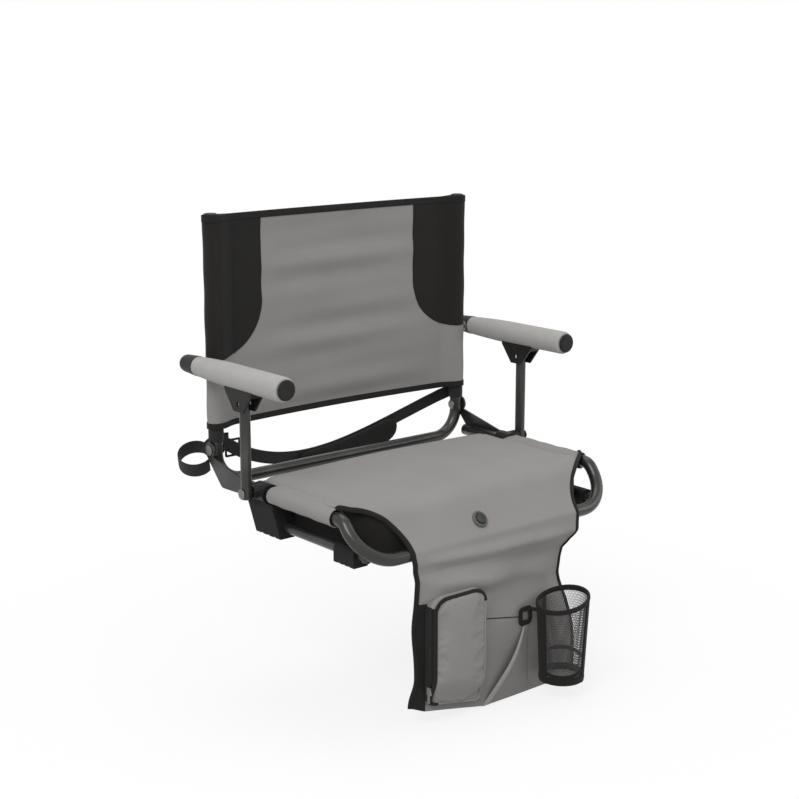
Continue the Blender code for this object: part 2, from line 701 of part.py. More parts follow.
def build_heater():
    """A flat strip that runs to and fro across the seat between the cover and the foam."""
    route = []
    first_y = SLEEVE_REAR_Y
    for index in range(HEATER_PASSES):
        y = first_y - index * HEATER_PITCH
        way = 1 if index % 2 == 0 else -1
        run = np.linspace(-1.0, 1.0, 7) * way * HEATER_HALF_LENGTH
        route += [(x, y) for x in run]
        if index < HEATER_PASSES - 1:
            for step in range(1, 6):
                turn = math.pi * (0.5 - step / 6)
                x = way * (HEATER_HALF_LENGTH + HEATER_PITCH / 2 * math.cos(turn))
                route.append((x, y - HEATER_PITCH / 2 * (1 - math.sin(turn))))
    route = np.array(route)
    tangents = np.gradient(route, axis=0)
    tangents /= np.linalg.norm(tangents, axis=1)[:, None]
    sideways = np.stack([-tangents[:, 1], tangents[:, 0]], axis=1) * HEATER_WIDTH / 2
    skins = []
    for depth in (HEATER_DEPTH, HEATER_DEPTH + HEATER_THICKNESS):
        skin = np.zeros((len(route), 2, 3))
        for column, offset in enumerate((sideways, -sideways)):
            flat = route + offset
            skin[:, column, :2] = flat
            lift = [crown("flat", y, x / PANEL_HALF_WIDTH) for x, y in flat]
            skin[:, column, 2] = SEAT_TOP_Z - depth + np.array(lift)
        skins.append(skin)
    shell("heating_element", *skins, material("heater_carbon", (0.05, 0.05, 0.055), 0.6))


def slope_place(x, up_slope, height):
    """A point on the front slope of the seat, a height above its cloth along the normal."""
    y, z = profile_point("slope", up_slope, -height)
    return x, y, z


def build_heat_button():
    def ring(radius, height, sides=20):
        turns = 2 * math.pi * np.arange(sides) / sides
        return [
            slope_place(BUTTON_X + radius * math.cos(t), BUTTON_UP_SLOPE + radius * math.sin(t), height)
            for t in turns
        ]

    lift = CLEARANCE + crown("slope", BUTTON_UP_SLOPE + BUTTON_RADIUS + BEZEL_WIDTH, 0.0)
    inner = BUTTON_RADIUS + RUNNING_FIT
    outer = inner + BEZEL_WIDTH
    outside = np.array([ring(outer, lift), ring(outer - BEZEL_WIDTH / 3, lift + BEZEL_HEIGHT)])
    inside = np.array([ring(inner, lift), ring(inner, lift + BEZEL_HEIGHT)])
    shell("button_bezel", outside, inside, black_plastic(), ring=True)
    low = lift + BUTTON_LIFT
    rings = [ring(BUTTON_RADIUS, low), ring(BUTTON_RADIUS, low + BUTTON_HEIGHT * 0.8)]
    rings.append(ring(BUTTON_RADIUS * 0.8, low + BUTTON_HEIGHT))
    cap = loft("heat_button", rings, material("button_grey", (0.10, 0.10, 0.10), 0.45))
    carry(joint_empty("heat_button_axis", slope_place(BUTTON_X, BUTTON_UP_SLOPE, low)), cap)
    wide, long, thick = CONTROLLER_SIZE
    outline = rounded_rectangle((-wide / 2, -long / 2), (wide / 2, long / 2), [long / 6] * 4, steps=2)
    rings = [
        [slope_place(BUTTON_X + a, BUTTON_UP_SLOPE + b, -depth) for a, b in outline]
        for depth in (HEATER_DEPTH, HEATER_DEPTH + thick)
    ]
    loft("controller", rings, black_plastic(), smooth=False)


# Pocket flap


def eased(value, low, high):
    """From 0 at the low value to 1 at the high one, along a smooth step."""
    share = np.clip((value - low) / (high - low), 0.0, 1.0)
    return share**2 * (3 - 2 * share)


def flap_y(x, z):
    """The back face of the hanging flap: its right edge folds back behind the cup holder, and its left edge
    curls back beside the zip pocket and again at the lower corner."""
    fold = FLAP_CURL * np.exp(-(((z - FLAP_CURL_Z) / FLAP_CURL_SPAN) ** 2))
    curl = FLAP_SIDE_CURL * np.exp(-(((z - FLAP_SIDE_CURL_Z) / FLAP_SIDE_CURL_SPAN) ** 2))
    foot = hem_z(-FLAP_HALF_WIDTH)
    curl += FLAP_CORNER_CURL * eased(-z, -foot - FLAP_CORNER_CURL_HEIGHT, -foot)
    back = fold * eased(x, FLAP_CURL_START_X, FLAP_HALF_WIDTH)
    return FLAP_BACK_Y + back + curl * eased(-x, -ZIP_POCKET_LEFT_X, FLAP_HALF_WIDTH)


def hem_z(x):
    """The flap's lower edge, which rises in a straight line to its left corner."""
    rise = np.clip((FLAP_HEM_FLAT_X - x) / (FLAP_HEM_FLAT_X + FLAP_HALF_WIDTH), 0.0, 1.0)
    return FLAP_BOTTOM_Z + FLAP_HEM_LIFT * rise


def build_flap_panel(hinge):
    across = np.linspace(ZIP_POCKET_LEFT_X, FLAP_HALF_WIDTH, FLAP_COLUMNS)
    strip = np.linspace(-FLAP_HALF_WIDTH, ZIP_POCKET_LEFT_X, FLAP_CURL_COLUMNS)[:-1]
    across = np.concatenate([strip, across])
    x, down = np.meshgrid(across, np.linspace(0.0, 1.0, FLAP_ROWS))
    top = FRONT_BAR_Z - FLAP_TOP_DROP
    z = top + (hem_z(x) - top) * down
    y = flap_y(x, z)
    y[0] = FRONT_BAR_Y - math.sqrt((SLEEVE_RADIUS + CLEARANCE) ** 2 - FLAP_TOP_DROP**2)
    back = np.stack([x, y, z], axis=-1)
    front = np.stack([x, y - CLOTH, z], axis=-1)
    carry(hinge, shell("flap_panel", front, back, grey_cloth()))


def zip_pocket_outline(grow):
    """The pocket's outline on the flap, grown outwards by a margin, from its lower left corner round.

    Its foot slants with the flap's hem: each point is lifted by its share of the pocket's height.
    """
    foot = FLAP_BOTTOM_Z + ZIP_POCKET_HEM_RISE
    low = (ZIP_POCKET_LEFT_X - grow, foot - grow)
    high = (ZIP_POCKET_LEFT_X + ZIP_POCKET_WIDTH + grow, ZIP_POCKET_TOP_Z + grow)
    radii = [ZIP_POCKET_LOW_CORNER + grow] * 2 + [ZIP_POCKET_TOP_CORNER + grow] * 2
    x, z = np.array(rounded_rectangle(low, high, radii, steps=5)).T
    share = (ZIP_POCKET_TOP_Z - z) / (ZIP_POCKET_TOP_Z - foot)
    return np.stack([x, z + (hem_z(x) - FLAP_BOTTOM_Z) * share], axis=1)


def flattened(points, seat):
    """Points on the zip pocket with its depth drawn in towards its foot, which lies flatter on the flap."""
    x, y, z = np.moveaxis(points, -1, 0)
    height = ZIP_POCKET_TOP_Z - hem_z(x) - ZIP_POCKET_HEM_RISE
    near_foot = eased((ZIP_POCKET_TOP_Z - z) / height, ZIP_POCKET_FOOT_START, 1.0)
    keep = 1.0 - (1.0 - ZIP_POCKET_FOOT_SHARE) * near_foot
    return np.stack([x, seat + (y - seat) * keep, z], axis=-1)


def build_zip_pocket(hinge):
    """A pouch with a gusset all round, open behind, where the flap closes it."""
    seat = FLAP_FRONT_Y - CLEARANCE
    face = seat - ZIP_POCKET_DEPTH
    rows = [(0.0, seat), (0.0, face + ZIP_POCKET_ROUND), (-ZIP_POCKET_EASE, face)]
    outline = zip_pocket_outline(0.0)
    middle = outline.mean(axis=0)
    loops = [np.insert(zip_pocket_outline(grow), 1, y, axis=1) for grow, y in rows]
    for share in POUCH_SHARES:
        loop = middle + (zip_pocket_outline(rows[-1][0]) - middle) * share
        loops.append(np.insert(loop, 1, face - ZIP_POCKET_CROWN * (1 - share**2), axis=1))
    around = len(outline)
    points = flattened(np.concatenate(loops), seat)
    faces = [list(range((len(loops) - 1) * around, len(loops) * around))]
    for row in range(len(loops) - 1):
        for col in range(around):
            after = (col + 1) % around
            this, below = row * around, (row + 1) * around
            faces.append([this + col, this + after, below + after, below + col])
    pouch = solid("zip_pocket", points, faces, grey_cloth())
    wall = pouch.modifiers.new("cloth", "SOLIDIFY")
    wall.thickness = CLOTH
    wall.offset = -1.0 if pouch_faces_out(pouch) else 1.0
    carry(hinge, pouch)
    build_zip(hinge, seat)


def pouch_faces_out(pouch):
    """Whether the face that closes the pouch looks forwards, away from the flap."""
    return pouch.data.polygons[0].normal.y < 0


def build_zip(hinge, seat):
    """The zip runs up the left gusset and over the top; its slider rides on the straight left run."""
    half = len(zip_pocket_outline(0.0)) // 4
    middle_y = seat - ZIP_MIDDLE
    skins = []
    for grow in (CLEARANCE + ZIP_TAPE_THICKNESS, CLEARANCE):
        outline = zip_pocket_outline(grow)
        run = np.concatenate([outline[2 * half :], outline[:1]])
        edges = [np.insert(run, 1, middle_y + s * ZIP_TAPE_WIDTH / 2, axis=1) for s in (-1, 1)]
        skins.append(flattened(np.stack(edges, axis=1), seat))
    tape = shell("zip_tape", *skins, black_cloth())
    thick, wide, high = ZIP_SLIDER_SIZE
    face_x = ZIP_POCKET_LEFT_X - 2 * CLEARANCE - ZIP_TAPE_THICKNESS
    low_z = hem_z(ZIP_POCKET_LEFT_X) + ZIP_POCKET_HEM_RISE + ZIP_SLIDER_RISE
    low = (face_x - thick, middle_y - wide / 2, low_z)
    slider = box("zip_slider", low, (face_x, middle_y + wide / 2, low_z + high), bright_pin())
    pull_low = (face_x - thick, middle_y - wide / 4, low_z - ZIP_PULL_LENGTH + high / 2)
    pull_high = (face_x - thick / 2, middle_y + wide / 4, low_z + high / 2)
    combine(slider, box("zip_pull", pull_low, pull_high, bright_pin()), "UNION")
    carry(hinge, tape)
    runner = joint_empty("zip_slider_axis", (face_x, middle_y, low_z))
    carry(runner, slider)
    carry(hinge, runner)


def build_middle_pocket(hinge):
    """A slanted pocket: sewn at its right edge and foot, open along its slanted left edge."""
    seat = FLAP_FRONT_Y - CLEARANCE
    down = np.linspace(0.0, 1.0, POCKET_LINES)[:, None]
    across = np.linspace(0.0, 1.0, POCKET_LINES)[None, :]
    width = MIDDLE_POCKET_TOP_WIDTH + (MIDDLE_POCKET_LOW_WIDTH - MIDDLE_POCKET_TOP_WIDTH) * down
    x = MIDDLE_POCKET_RIGHT_X - width * across
    z = MIDDLE_POCKET_TOP_Z + (FLAP_BOTTOM_Z - MIDDLE_POCKET_TOP_Z) * down + 0 * across
    bulge = MIDDLE_POCKET_BULGE * np.sin(math.pi / 2 * across) * np.sin(math.pi * down**0.8)
    front = np.stack([x, seat - CLOTH - bulge, z], axis=-1)
    back = np.stack([x, seat - bulge, z], axis=-1)
    pocket = shell("middle_pocket", front, back, grey_cloth())
    wide, thick, high = TAB_SIZE
    centre_x = MIDDLE_POCKET_RIGHT_X - MIDDLE_POCKET_TOP_WIDTH / 2
    low_z = MIDDLE_POCKET_TOP_Z + CLEARANCE
    tab_low = (centre_x - wide / 2, seat - thick, low_z)
    tab_high = (centre_x + wide / 2, seat, low_z + high)
    tab = box("pocket_tab", tab_low, tab_high, black_cloth())
    carry(hinge, pocket, tab)


def cup_wall_radius(z):
    """The cup holder's outer radius, a little less towards its foot."""
    return CUP_RADIUS - CUP_TAPER * (CUP_RIM_Z - z) / CUP_HEIGHT


def slanted(points):
    """The cup's points with its rim lifted at the right: each by its share of the cup's height."""
    x, y, z = np.moveaxis(points, -1, 0)
    share = 1.0 - (CUP_RIM_Z - z) / CUP_HEIGHT
    return np.stack([x, y, z + CUP_SLANT * (x - CUP_X) * share], axis=-1)


def build_cup_holder(hinge):
    """A round net on a rim that is higher at its right, and a level base."""
    centre = (CUP_X, CUP_Y)
    foot_z = CUP_RIM_Z - CUP_HEIGHT
    levels = np.linspace(CUP_RIM_Z, foot_z, CUP_LEVELS)
    outside = slanted(turned("Z", centre, [(z, cup_wall_radius(z)) for z in levels], CUP_SIDES))
    inside = slanted(turned("Z", centre, [(z, cup_wall_radius(z) - CLOTH) for z in levels], CUP_SIDES))
    wall = shell("cup_mesh", outside, inside, black_cloth(), ring=True)
    bead = [math.pi * 2 * i / RIM_POINTS for i in range(RIM_POINTS)]
    rim_z = CUP_RIM_Z + CUP_RIM_RADIUS + CLEARANCE
    wire = [(rim_z + CUP_RIM_RADIUS * math.sin(t), CUP_RADIUS + CUP_RIM_RADIUS * math.cos(t)) for t in bead]
    rim = ring_bead("cup_rim", centre, wire)
    disc = cup_wall_radius(foot_z) - CLOTH - CLEARANCE
    rings = turned("Z", centre, [(foot_z, disc), (foot_z + CUP_BASE_THICKNESS, disc)], CUP_SIDES)
    base = loft("cup_base", rings, grey_cloth())
    carry(hinge, wall, rim, base)


def ring_bead(name, centre, section):
    """A closed ring with a small section, given as heights and radii."""
    sides = CUP_SIDES
    rings = slanted(turned("Z", centre, section, sides))
    count = len(section)
    faces = []
    for row in range(count):
        for col in range(sides):
            after = (col + 1) % sides
            this, below = row * sides, (row + 1) % count * sides
            faces.append([this + col, this + after, below + after, below + col])
    return solid(name, rings.reshape(-1, 3), faces, black_cloth())


def build_flap():
    hinge = joint_empty("flap_hinge", (0.0, FRONT_BAR_Y, FRONT_BAR_Z))
    build_flap_panel(hinge)
    build_zip_pocket(hinge)
    build_middle_pocket(hinge)
    build_cup_holder(hinge)


# Backrest


def build_back_frame(hinge):
    top_z = PANEL_TOP_Z
    half = [(POST_X, HINGE_Y, top_z), (POST_X, HINGE_Y, CROSS_TUBE_Z)]
    path = rounded_path(half + [(-x, y, z) for x, y, z in reversed(half)], [BACK_BEND] * 2)
    frame = hollow_tube("back_frame", path, TUBE_RADIUS, TUBE_BORE, steel())
    carry(hinge, frame)
    for side, sign in SIDES.items():
        reach = 2 * TUBE_RADIUS
        ends = (sign * (POST_X - reach), sign * (POST_X + reach))
        hole = PIN_RADIUS + RUNNING_FIT
        drill(frame, f"hinge_hole_{side}", "X", (HINGE_Y, HINGE_Z), *ends, hole)
        ends = (sign * POST_X, sign * (POST_X + reach))
        drill(frame, f"arm_hole_{side}", "X", (HINGE_Y, ARM_Z), *ends, hole)
        seat = top_z + CLEARANCE
        spigot = TUBE_BORE - CLEARANCE
        stations = [(top_z - PLUG_LENGTH, spigot), (seat, spigot), (seat, SLEEVE_RADIUS)]
        stations += [(seat + PLUG_RIM / 2, SLEEVE_RADIUS), (seat + PLUG_RIM, SLEEVE_RADIUS * 0.7)]
        rings = turned("Z", (sign * POST_X, HINGE_Y), stations)
        carry(hinge, loft(f"post_cap_{side}", rings, black_plastic()))


def back_rows():
    """Heights of the back cloth with the half width of its grey part, from the foot to the top."""
    plain_height = side_panel_foot_z() - PANEL_BOTTOM_Z
    rows = [(PANEL_BOTTOM_Z, PANEL_HALF_WIDTH), (PANEL_BOTTOM_Z + plain_height / 2, PANEL_HALF_WIDTH)]
    across = PANEL_HALF_WIDTH - SIDE_PANEL_INNER_X
    for turn in np.linspace(math.pi / 2, 0.0, CORNER_STEPS + 1):
        z = SIDE_PANEL_CORNER_Z - SIDE_PANEL_CORNER_DROP * math.sin(turn)
        rows.append((z, PANEL_HALF_WIDTH - across * math.cos(turn)))
    rise = PANEL_TOP_Z - SIDE_PANEL_CORNER_Z
    rows += [(SIDE_PANEL_CORNER_Z + rise * f, SIDE_PANEL_INNER_X) for f in (0.5, 1.0)]
    return rows


def side_panel_foot_z():
    return SIDE_PANEL_CORNER_Z - SIDE_PANEL_CORNER_DROP


def back_skin(lines, offset):
    """Points of the back cloth on rows of (z, x values), bowed backwards between the posts."""
    grid = []
    for z, xs in lines:
        bow = BACK_BOW * (1.0 - (np.asarray(xs) / PANEL_HALF_WIDTH) ** 2)
        grid.append(np.stack([xs, HINGE_Y + bow + offset, np.full(len(xs), z)], axis=-1))
    return np.array(grid)


def build_back_cloth(hinge):
    thick = CLOTH / 2
    rows = back_rows()
    lines = [(z, np.linspace(-half, half, PANEL_COLUMNS)) for z, half in rows]
    finish = material("back_cloth", (0.225, 0.217, 0.212), 0.9)
    carry(hinge, shell("back_panel", back_skin(lines, -thick), back_skin(lines, thick), finish))
    black_lines = [(z, half) for z, half in rows if PANEL_HALF_WIDTH - half > CLEARANCE]
    for side, sign in SIDES.items():
        lines = []
        for z, half in black_lines:
            lines.append((z, sign * np.linspace(half + 2 * CLEARANCE, PANEL_HALF_WIDTH, SIDE_PANEL_COLUMNS)))
        panel = shell(f"side_panel_{side}", back_skin(lines, -thick), back_skin(lines, thick), black_cloth())
        path = [(sign * POST_X, HINGE_Y, z) for z in (PANEL_BOTTOM_Z, PANEL_TOP_Z)]
        sleeve = hollow_tube(f"back_sleeve_{side}", path, SLEEVE_RADIUS, SLEEVE_INNER, black_cloth())
        ends = (sign * POST_X, sign * (POST_X + 2 * SLEEVE_RADIUS))
        drill(sleeve, f"sleeve_hole_{side}", "X", (HINGE_Y, ARM_Z), *ends, PIN_RADIUS + 2 * RUNNING_FIT)
        carry(hinge, panel, sleeve)


def strap_route():
    """The webbing's centre line: a loop round each post and a slack run between them behind the frame."""
    radius = SLEEVE_INNER + STRAP_THICKNESS / 2
    loop = []
    for turn in np.linspace(*LOOP_TURN, LOOP_POINTS):
        loop.append((POST_X + radius * math.cos(turn), HINGE_Y + radius * math.sin(turn), STRAP_Z))
    ends = loop[-1][0]
    run = []
    for x in np.linspace(SLACK_SHARE, -SLACK_SHARE, LOOP_POINTS) * ends:
        share = x / ends
        sag = STRAP_SAG * (1 - share**2) * (1 + 2 * share * STRAP_LOW_X / POST_X)
        bow = STRAP_BOW * (1 - share**2)
        run.append((x, loop[-1][1] + STRAP_THICKNESS + bow, STRAP_Z - sag))
    left = [(-x, y, z) for x, y, z in reversed(loop)]
    return np.array(loop + run + left)


def ribbon(name, route, width, thickness, finish, offset=0.0, rises=(0.0, 0.0, 1.0)):
    """A band of webbing along a route, pushed out to its rear by an offset, its width along the rises."""
    rises = np.broadcast_to(rises, route.shape)
    normals = np.cross(np.gradient(route, axis=0), rises)
    normals /= np.linalg.norm(normals, axis=1)[:, None]
    skins = []
    for place in (offset - thickness / 2, offset + thickness / 2):
        middle = route + normals * place
        skins.append(np.stack([middle + s * rises * width / 2 for s in (-1, 1)], axis=1))
    return shell(name, *skins, finish)


def tail_route(start_y):
    """The strap's spare end: off the back of the strap, past the post and round in a loop that leans forward.

    Gives the points of its centre line and, for each of them, the way that the band's width lies.
    """
    upright = np.array((0.0, 0.0, 1.0))
    sideways = np.array((math.cos(TAIL_FACING), -math.sin(TAIL_FACING), 0.0))
    lean = math.sin(TAIL_LEAN) * np.cross(sideways, upright) + math.cos(TAIL_LEAN) * upright
    away = np.cross(lean, sideways)
    left = np.array((-POST_X, start_y, STRAP_Z))
    centre = left + (TAIL_LOOP_X, TAIL_LOOP_Y, -TAIL_LOOP_DROP)
    turns = np.linspace(*TAIL_TURN, LOOP_POINTS)[:, None]
    loop = centre + TAIL_LOOP_RADIUS * (np.cos(turns) * sideways + np.sin(turns) * away)
    first = left + (TAIL_START_X, 0.0, -TAIL_START_DROP)
    second = left + (TAIL_START_X / 2, STRAP_THICKNESS, -TAIL_START_DROP)
    route = np.concatenate([[first, second], loop])
    return route, np.array([upright, upright] + [lean] * LOOP_POINTS)


def build_strap(hinge):
    webbing = material("black_webbing", (0.025, 0.024, 0.024), 0.85)
    route = strap_route()
    strap = ribbon("carry_strap", route, STRAP_WIDTH, STRAP_THICKNESS, webbing)
    reach = STRAP_PAD_LENGTH / 2
    slack = route[LOOP_POINTS:-LOOP_POINTS][::-1]
    inner = slack[np.abs(slack[:, 0] - STRAP_PAD_X) < reach - CLEARANCE, 0]
    xs = np.concatenate([[STRAP_PAD_X - reach], inner, [STRAP_PAD_X + reach]])[::-1]
    behind = np.stack([np.interp(xs, slack[:, 0], slack[:, axis]) for axis in range(3)], axis=1)
    behind[:, 2] -= STRAP_PAD_DROP
    gap = STRAP_THICKNESS / 2 + CLEARANCE + STRAP_PAD_THICKNESS / 2
    pad = ribbon("strap_pad", behind, STRAP_PAD_HEIGHT, STRAP_PAD_THICKNESS, black_cloth(), -gap)
    start_y = np.interp(TAIL_START_X - POST_X, slack[:, 0], slack[:, 1]) + STRAP_THICKNESS + 2 * CLEARANCE
    tail_points, rises = tail_route(start_y)
    tail = ribbon("strap_tail", tail_points, STRAP_WIDTH, STRAP_THICKNESS, webbing, rises=rises)
    carry(hinge, strap, pad, tail)


# Armrests


def pad_radius(y):
    """The arm pad swells from its slim rear end to its full front part, and both ends are rounded off."""
    rear, front = ARM_REAR_Y - CAP_THICKNESS, ARM_FRONT_Y + CAP_THICKNESS
    share = min(1.0, max(0.0, (rear - y) / PAD_TAPER_LENGTH))
    swell = math.sin(share * math.pi / 2)
    radius = PAD_REAR_RADIUS + (PAD_FRONT_RADIUS - PAD_REAR_RADIUS) * swell
    edge = min(rear - y, y - front) / CAP_THICKNESS
    return radius - CAP_THICKNESS * 0.4 * (1.0 - min(1.0, max(0.0, edge))) ** 2


def pad_stations(grow):
    rear, front = ARM_REAR_Y - CAP_THICKNESS - CLEARANCE, ARM_FRONT_Y + CAP_THICKNESS + CLEARANCE
    shares = (0.0, 0.01, 0.02, 0.14, 0.28, 0.42, 0.56, 0.78, 0.98, 0.99, 1.0)
    places = [rear + (front - rear) * share for share in shares]
    return [(y, pad_radius(y) + grow) for y in places]


def build_arm_bar(side, sign):
    axis = (sign * ARM_X, ARM_Z)
    rear, front = ARM_REAR_Y - CAP_THICKNESS, ARM_FRONT_Y + CAP_THICKNESS
    bore = ARM_BAR_RADIUS - TUBE_WALL
    path = [(sign * ARM_X, y, ARM_Z) for y in (rear, front)]
    bar = hollow_tube(f"arm_bar_{side}", path, ARM_BAR_RADIUS, bore, steel(), SMALL_SIDES)
    hole_ends = (sign * (ARM_X - 2 * PAD_FRONT_RADIUS), sign * ARM_X)
    hole = PIN_RADIUS + CLEARANCE
    drill(bar, f"bar_hole_{side}", "X", (HINGE_Y, ARM_Z), *hole_ends, hole)
    outside = turned("Y", axis, pad_stations(0.0), 18)
    inside = turned("Y", axis, [(y, ARM_BAR_RADIUS + CLEARANCE) for y, _ in pad_stations(0.0)], 18)
    foam = material("arm_foam", (0.42, 0.41, 0.39), 0.85)
    pad = shell(f"arm_pad_{side}", outside, inside, foam, ring=True)
    drill(pad, f"pad_hole_{side}", "X", (HINGE_Y, ARM_Z), *hole_ends, hole)
    caps = []
    spigot = bore - CLEARANCE
    ends = (("rear", rear, 1, REAR_CAP_RADIUS), ("front", front, -1, FRONT_CAP_RADIUS))
    for end, place, way, radius in ends:
        seat = place + way * CLEARANCE
        face = place + way * CAP_THICKNESS
        stations = [(place - way * PLUG_LENGTH, spigot), (seat, spigot), (seat, radius)]
        stations += [(seat + way * CAP_THICKNESS / 2, radius), (face, radius * 0.75)]
        caps.append(loft(f"arm_{end}_cap_{side}", turned("Y", axis, stations), black_plastic()))
    return [bar, pad] + caps


def build_arm_bracket(side, sign):
    """A forked block under the pad, open below and at both ends so that the post can fold into it."""
    fork = POST_RADIUS + SIDE_PLAY
    half = fork + CHEEK
    top_z = ARM_Z - ARM_BAR_RADIUS - CHEEK
    low_z = LINK_TOP_Z - BRACKET_TIP
    centre = POST_PIVOT_Y
    outline = [(centre - BRACKET_BOTTOM_LENGTH / 2, low_z), (centre + BRACKET_BOTTOM_LENGTH / 2, low_z)]
    brow = ARM_Z - PAD_FRONT_RADIUS
    outline += [(centre + BRACKET_TOP_LENGTH / 2, brow), (centre + BRACKET_TOP_LENGTH / 2, top_z)]
    outline += [(centre - BRACKET_TOP_LENGTH / 2, top_z), (centre - BRACKET_TOP_LENGTH / 2, brow)]
    faces = sorted((sign * (ARM_X - half), sign * (ARM_X + half)))
    bracket = extruded(f"arm_bracket_{side}", outline, "X", *faces, black_plastic())
    axis = (sign * ARM_X, ARM_Z)
    pad_room = loft(f"pad_room_{side}", turned("Y", axis, pad_stations(CLEARANCE), 18), black_plastic())
    combine(bracket, pad_room, "DIFFERENCE")
    swing = math.hypot(POST_END, POST_RADIUS) + SIDE_PLAY
    low = (sign * ARM_X - fork, centre - BRACKET_TOP_LENGTH, low_z - BRACKET_TIP)
    high = (sign * ARM_X + fork, centre + BRACKET_TOP_LENGTH, LINK_TOP_Z + swing)
    combine(bracket, box(f"fork_{side}", low, high, black_plastic()), "DIFFERENCE")
    ends = (sign * (ARM_X - 2 * half), sign * (ARM_X + 2 * half))
    drill(bracket, f"trunnion_hole_{side}", "X", (centre, LINK_TOP_Z), *ends, TRUNNION_RADIUS + RUNNING_FIT)
    return bracket


def build_arm_pin(side, sign):
    """A shoulder pin from the back post's wall into the arm bar."""
    shoulder_start = BACK_WIDTH / 2 + RUNNING_FIT
    shoulder_end = ARM_X - pad_radius(HINGE_Y) - CLEARANCE
    stations = [(POST_X + TUBE_BORE / 2, PIN_RADIUS), (shoulder_start, PIN_RADIUS)]
    stations += [(shoulder_start, PIN_HEAD_RADIUS), (shoulder_end, PIN_HEAD_RADIUS)]
    stations += [(shoulder_end, PIN_RADIUS), (ARM_X + TUBE_WALL, PIN_RADIUS)]
    rings = turned("X", (HINGE_Y, ARM_Z), [(sign * x, r) for x, r in stations])
    return loft(f"arm_pin_{side}", rings, bright_pin())


def build_arm_post(side, sign):
    """The post, with a trunnion through its top end and a pin hole at its foot."""
    x = sign * ARM_X
    path = [(x, POST_PIVOT_Y, z) for z in (POST_PIVOT_Z - POST_END, LINK_TOP_Z + POST_END)]
    post = hollow_tube(f"arm_post_{side}", path, POST_RADIUS, POST_RADIUS - TUBE_WALL, steel())
    reach = POST_RADIUS + CHEEK
    stations = [(x - reach, TRUNNION_RADIUS), (x + reach, TRUNNION_RADIUS)]
    rings = turned("X", (POST_PIVOT_Y, LINK_TOP_Z), stations)
    combine(post, loft(f"trunnion_{side}", rings, steel()), "UNION")
    ends = (x - 2 * reach, x + 2 * reach)
    drill(post, f"foot_hole_{side}", "X", (POST_PIVOT_Y, POST_PIVOT_Z), *ends, PIN_RADIUS + RUNNING_FIT)
    return post


def build_post_bracket(side, sign):
    """A clamp round the side tube with a boss towards the post, and the pin that the post turns on."""
    axis = (sign * POST_X, SEAT_TUBE_Z)
    half = COLLAR_LENGTH / 2
    stations = [(POST_PIVOT_Y - half, COLLAR_RADIUS), (POST_PIVOT_Y + half, COLLAR_RADIUS)]
    bracket = loft(f"post_bracket_{side}", turned("Y", axis, stations, ROUND_SIDES), black_plastic())
    boss_end = ARM_X - POST_RADIUS - SIDE_PLAY
    centre = (POST_PIVOT_Y, POST_PIVOT_Z)
    boss_rings = turned("X", centre, [(sign * POST_X, BOSS_RADIUS), (sign * boss_end, BOSS_RADIUS)])
    combine(bracket, loft(f"boss_{side}", boss_rings, black_plastic()), "UNION")
    ends = (POST_PIVOT_Y - COLLAR_LENGTH, POST_PIVOT_Y + COLLAR_LENGTH)
    room = loft(
        f"tube_room_{side}",
        turned("Y", axis, [(y, SLEEVE_INNER) for y in ends], ROUND_SIDES),
        black_plastic(),
    )
    combine(bracket, room, "DIFFERENCE")
    pin_start = POST_X + SLEEVE_INNER + COLLAR_WALL / 2
    ends = (sign * (pin_start - CLEARANCE), sign * (boss_end + BOSS_RADIUS))
    drill(bracket, f"boss_hole_{side}", "X", centre, *ends, PIN_RADIUS + CLEARANCE)
    head = ARM_X + POST_RADIUS + SIDE_PLAY
    stations = [(pin_start, PIN_RADIUS), (head, PIN_RADIUS), (head, PIN_HEAD_RADIUS)]
    stations += [(head + PIN_HEAD_HEIGHT / 2, PIN_HEAD_RADIUS), (head + PIN_HEAD_HEIGHT, PIN_HEAD_RADIUS / 2)]
    rings = turned("X", centre, [(sign * x, r) for x, r in stations])
    loft(f"post_pin_{side}", rings, bright_pin())


def build_armrests(back_hinge):
    for side, sign in SIDES.items():
        pivot = joint_empty(f"arm_{side}_pivot", (sign * ARM_X, HINGE_Y, ARM_Z))
        pieces = build_arm_bar(side, sign)
        pieces += [build_arm_bracket(side, sign), build_arm_pin(side, sign)]
        carry(pivot, *pieces)
        carry(back_hinge, pivot)
        foot = joint_empty(f"post_{side}_pivot", (sign * ARM_X, POST_PIVOT_Y, POST_PIVOT_Z))
        carry(foot, build_arm_post(side, sign))
        build_post_bracket(side, sign)


clear_scene()
build_seat_frame()
build_base()
build_hinges()
build_seat_layers()
build_heater()
build_heat_button()
build_flap()
back_hinge = joint_empty("back_hinge", (0.0, HINGE_Y, HINGE_Z))
build_back_frame(back_hinge)
build_back_cloth(back_hinge)
build_strap(back_hinge)
build_armrests(back_hinge)
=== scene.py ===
"""A folding heated stadium seat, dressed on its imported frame. Metres, +Z up, and the sitter faces -Y."""

import math

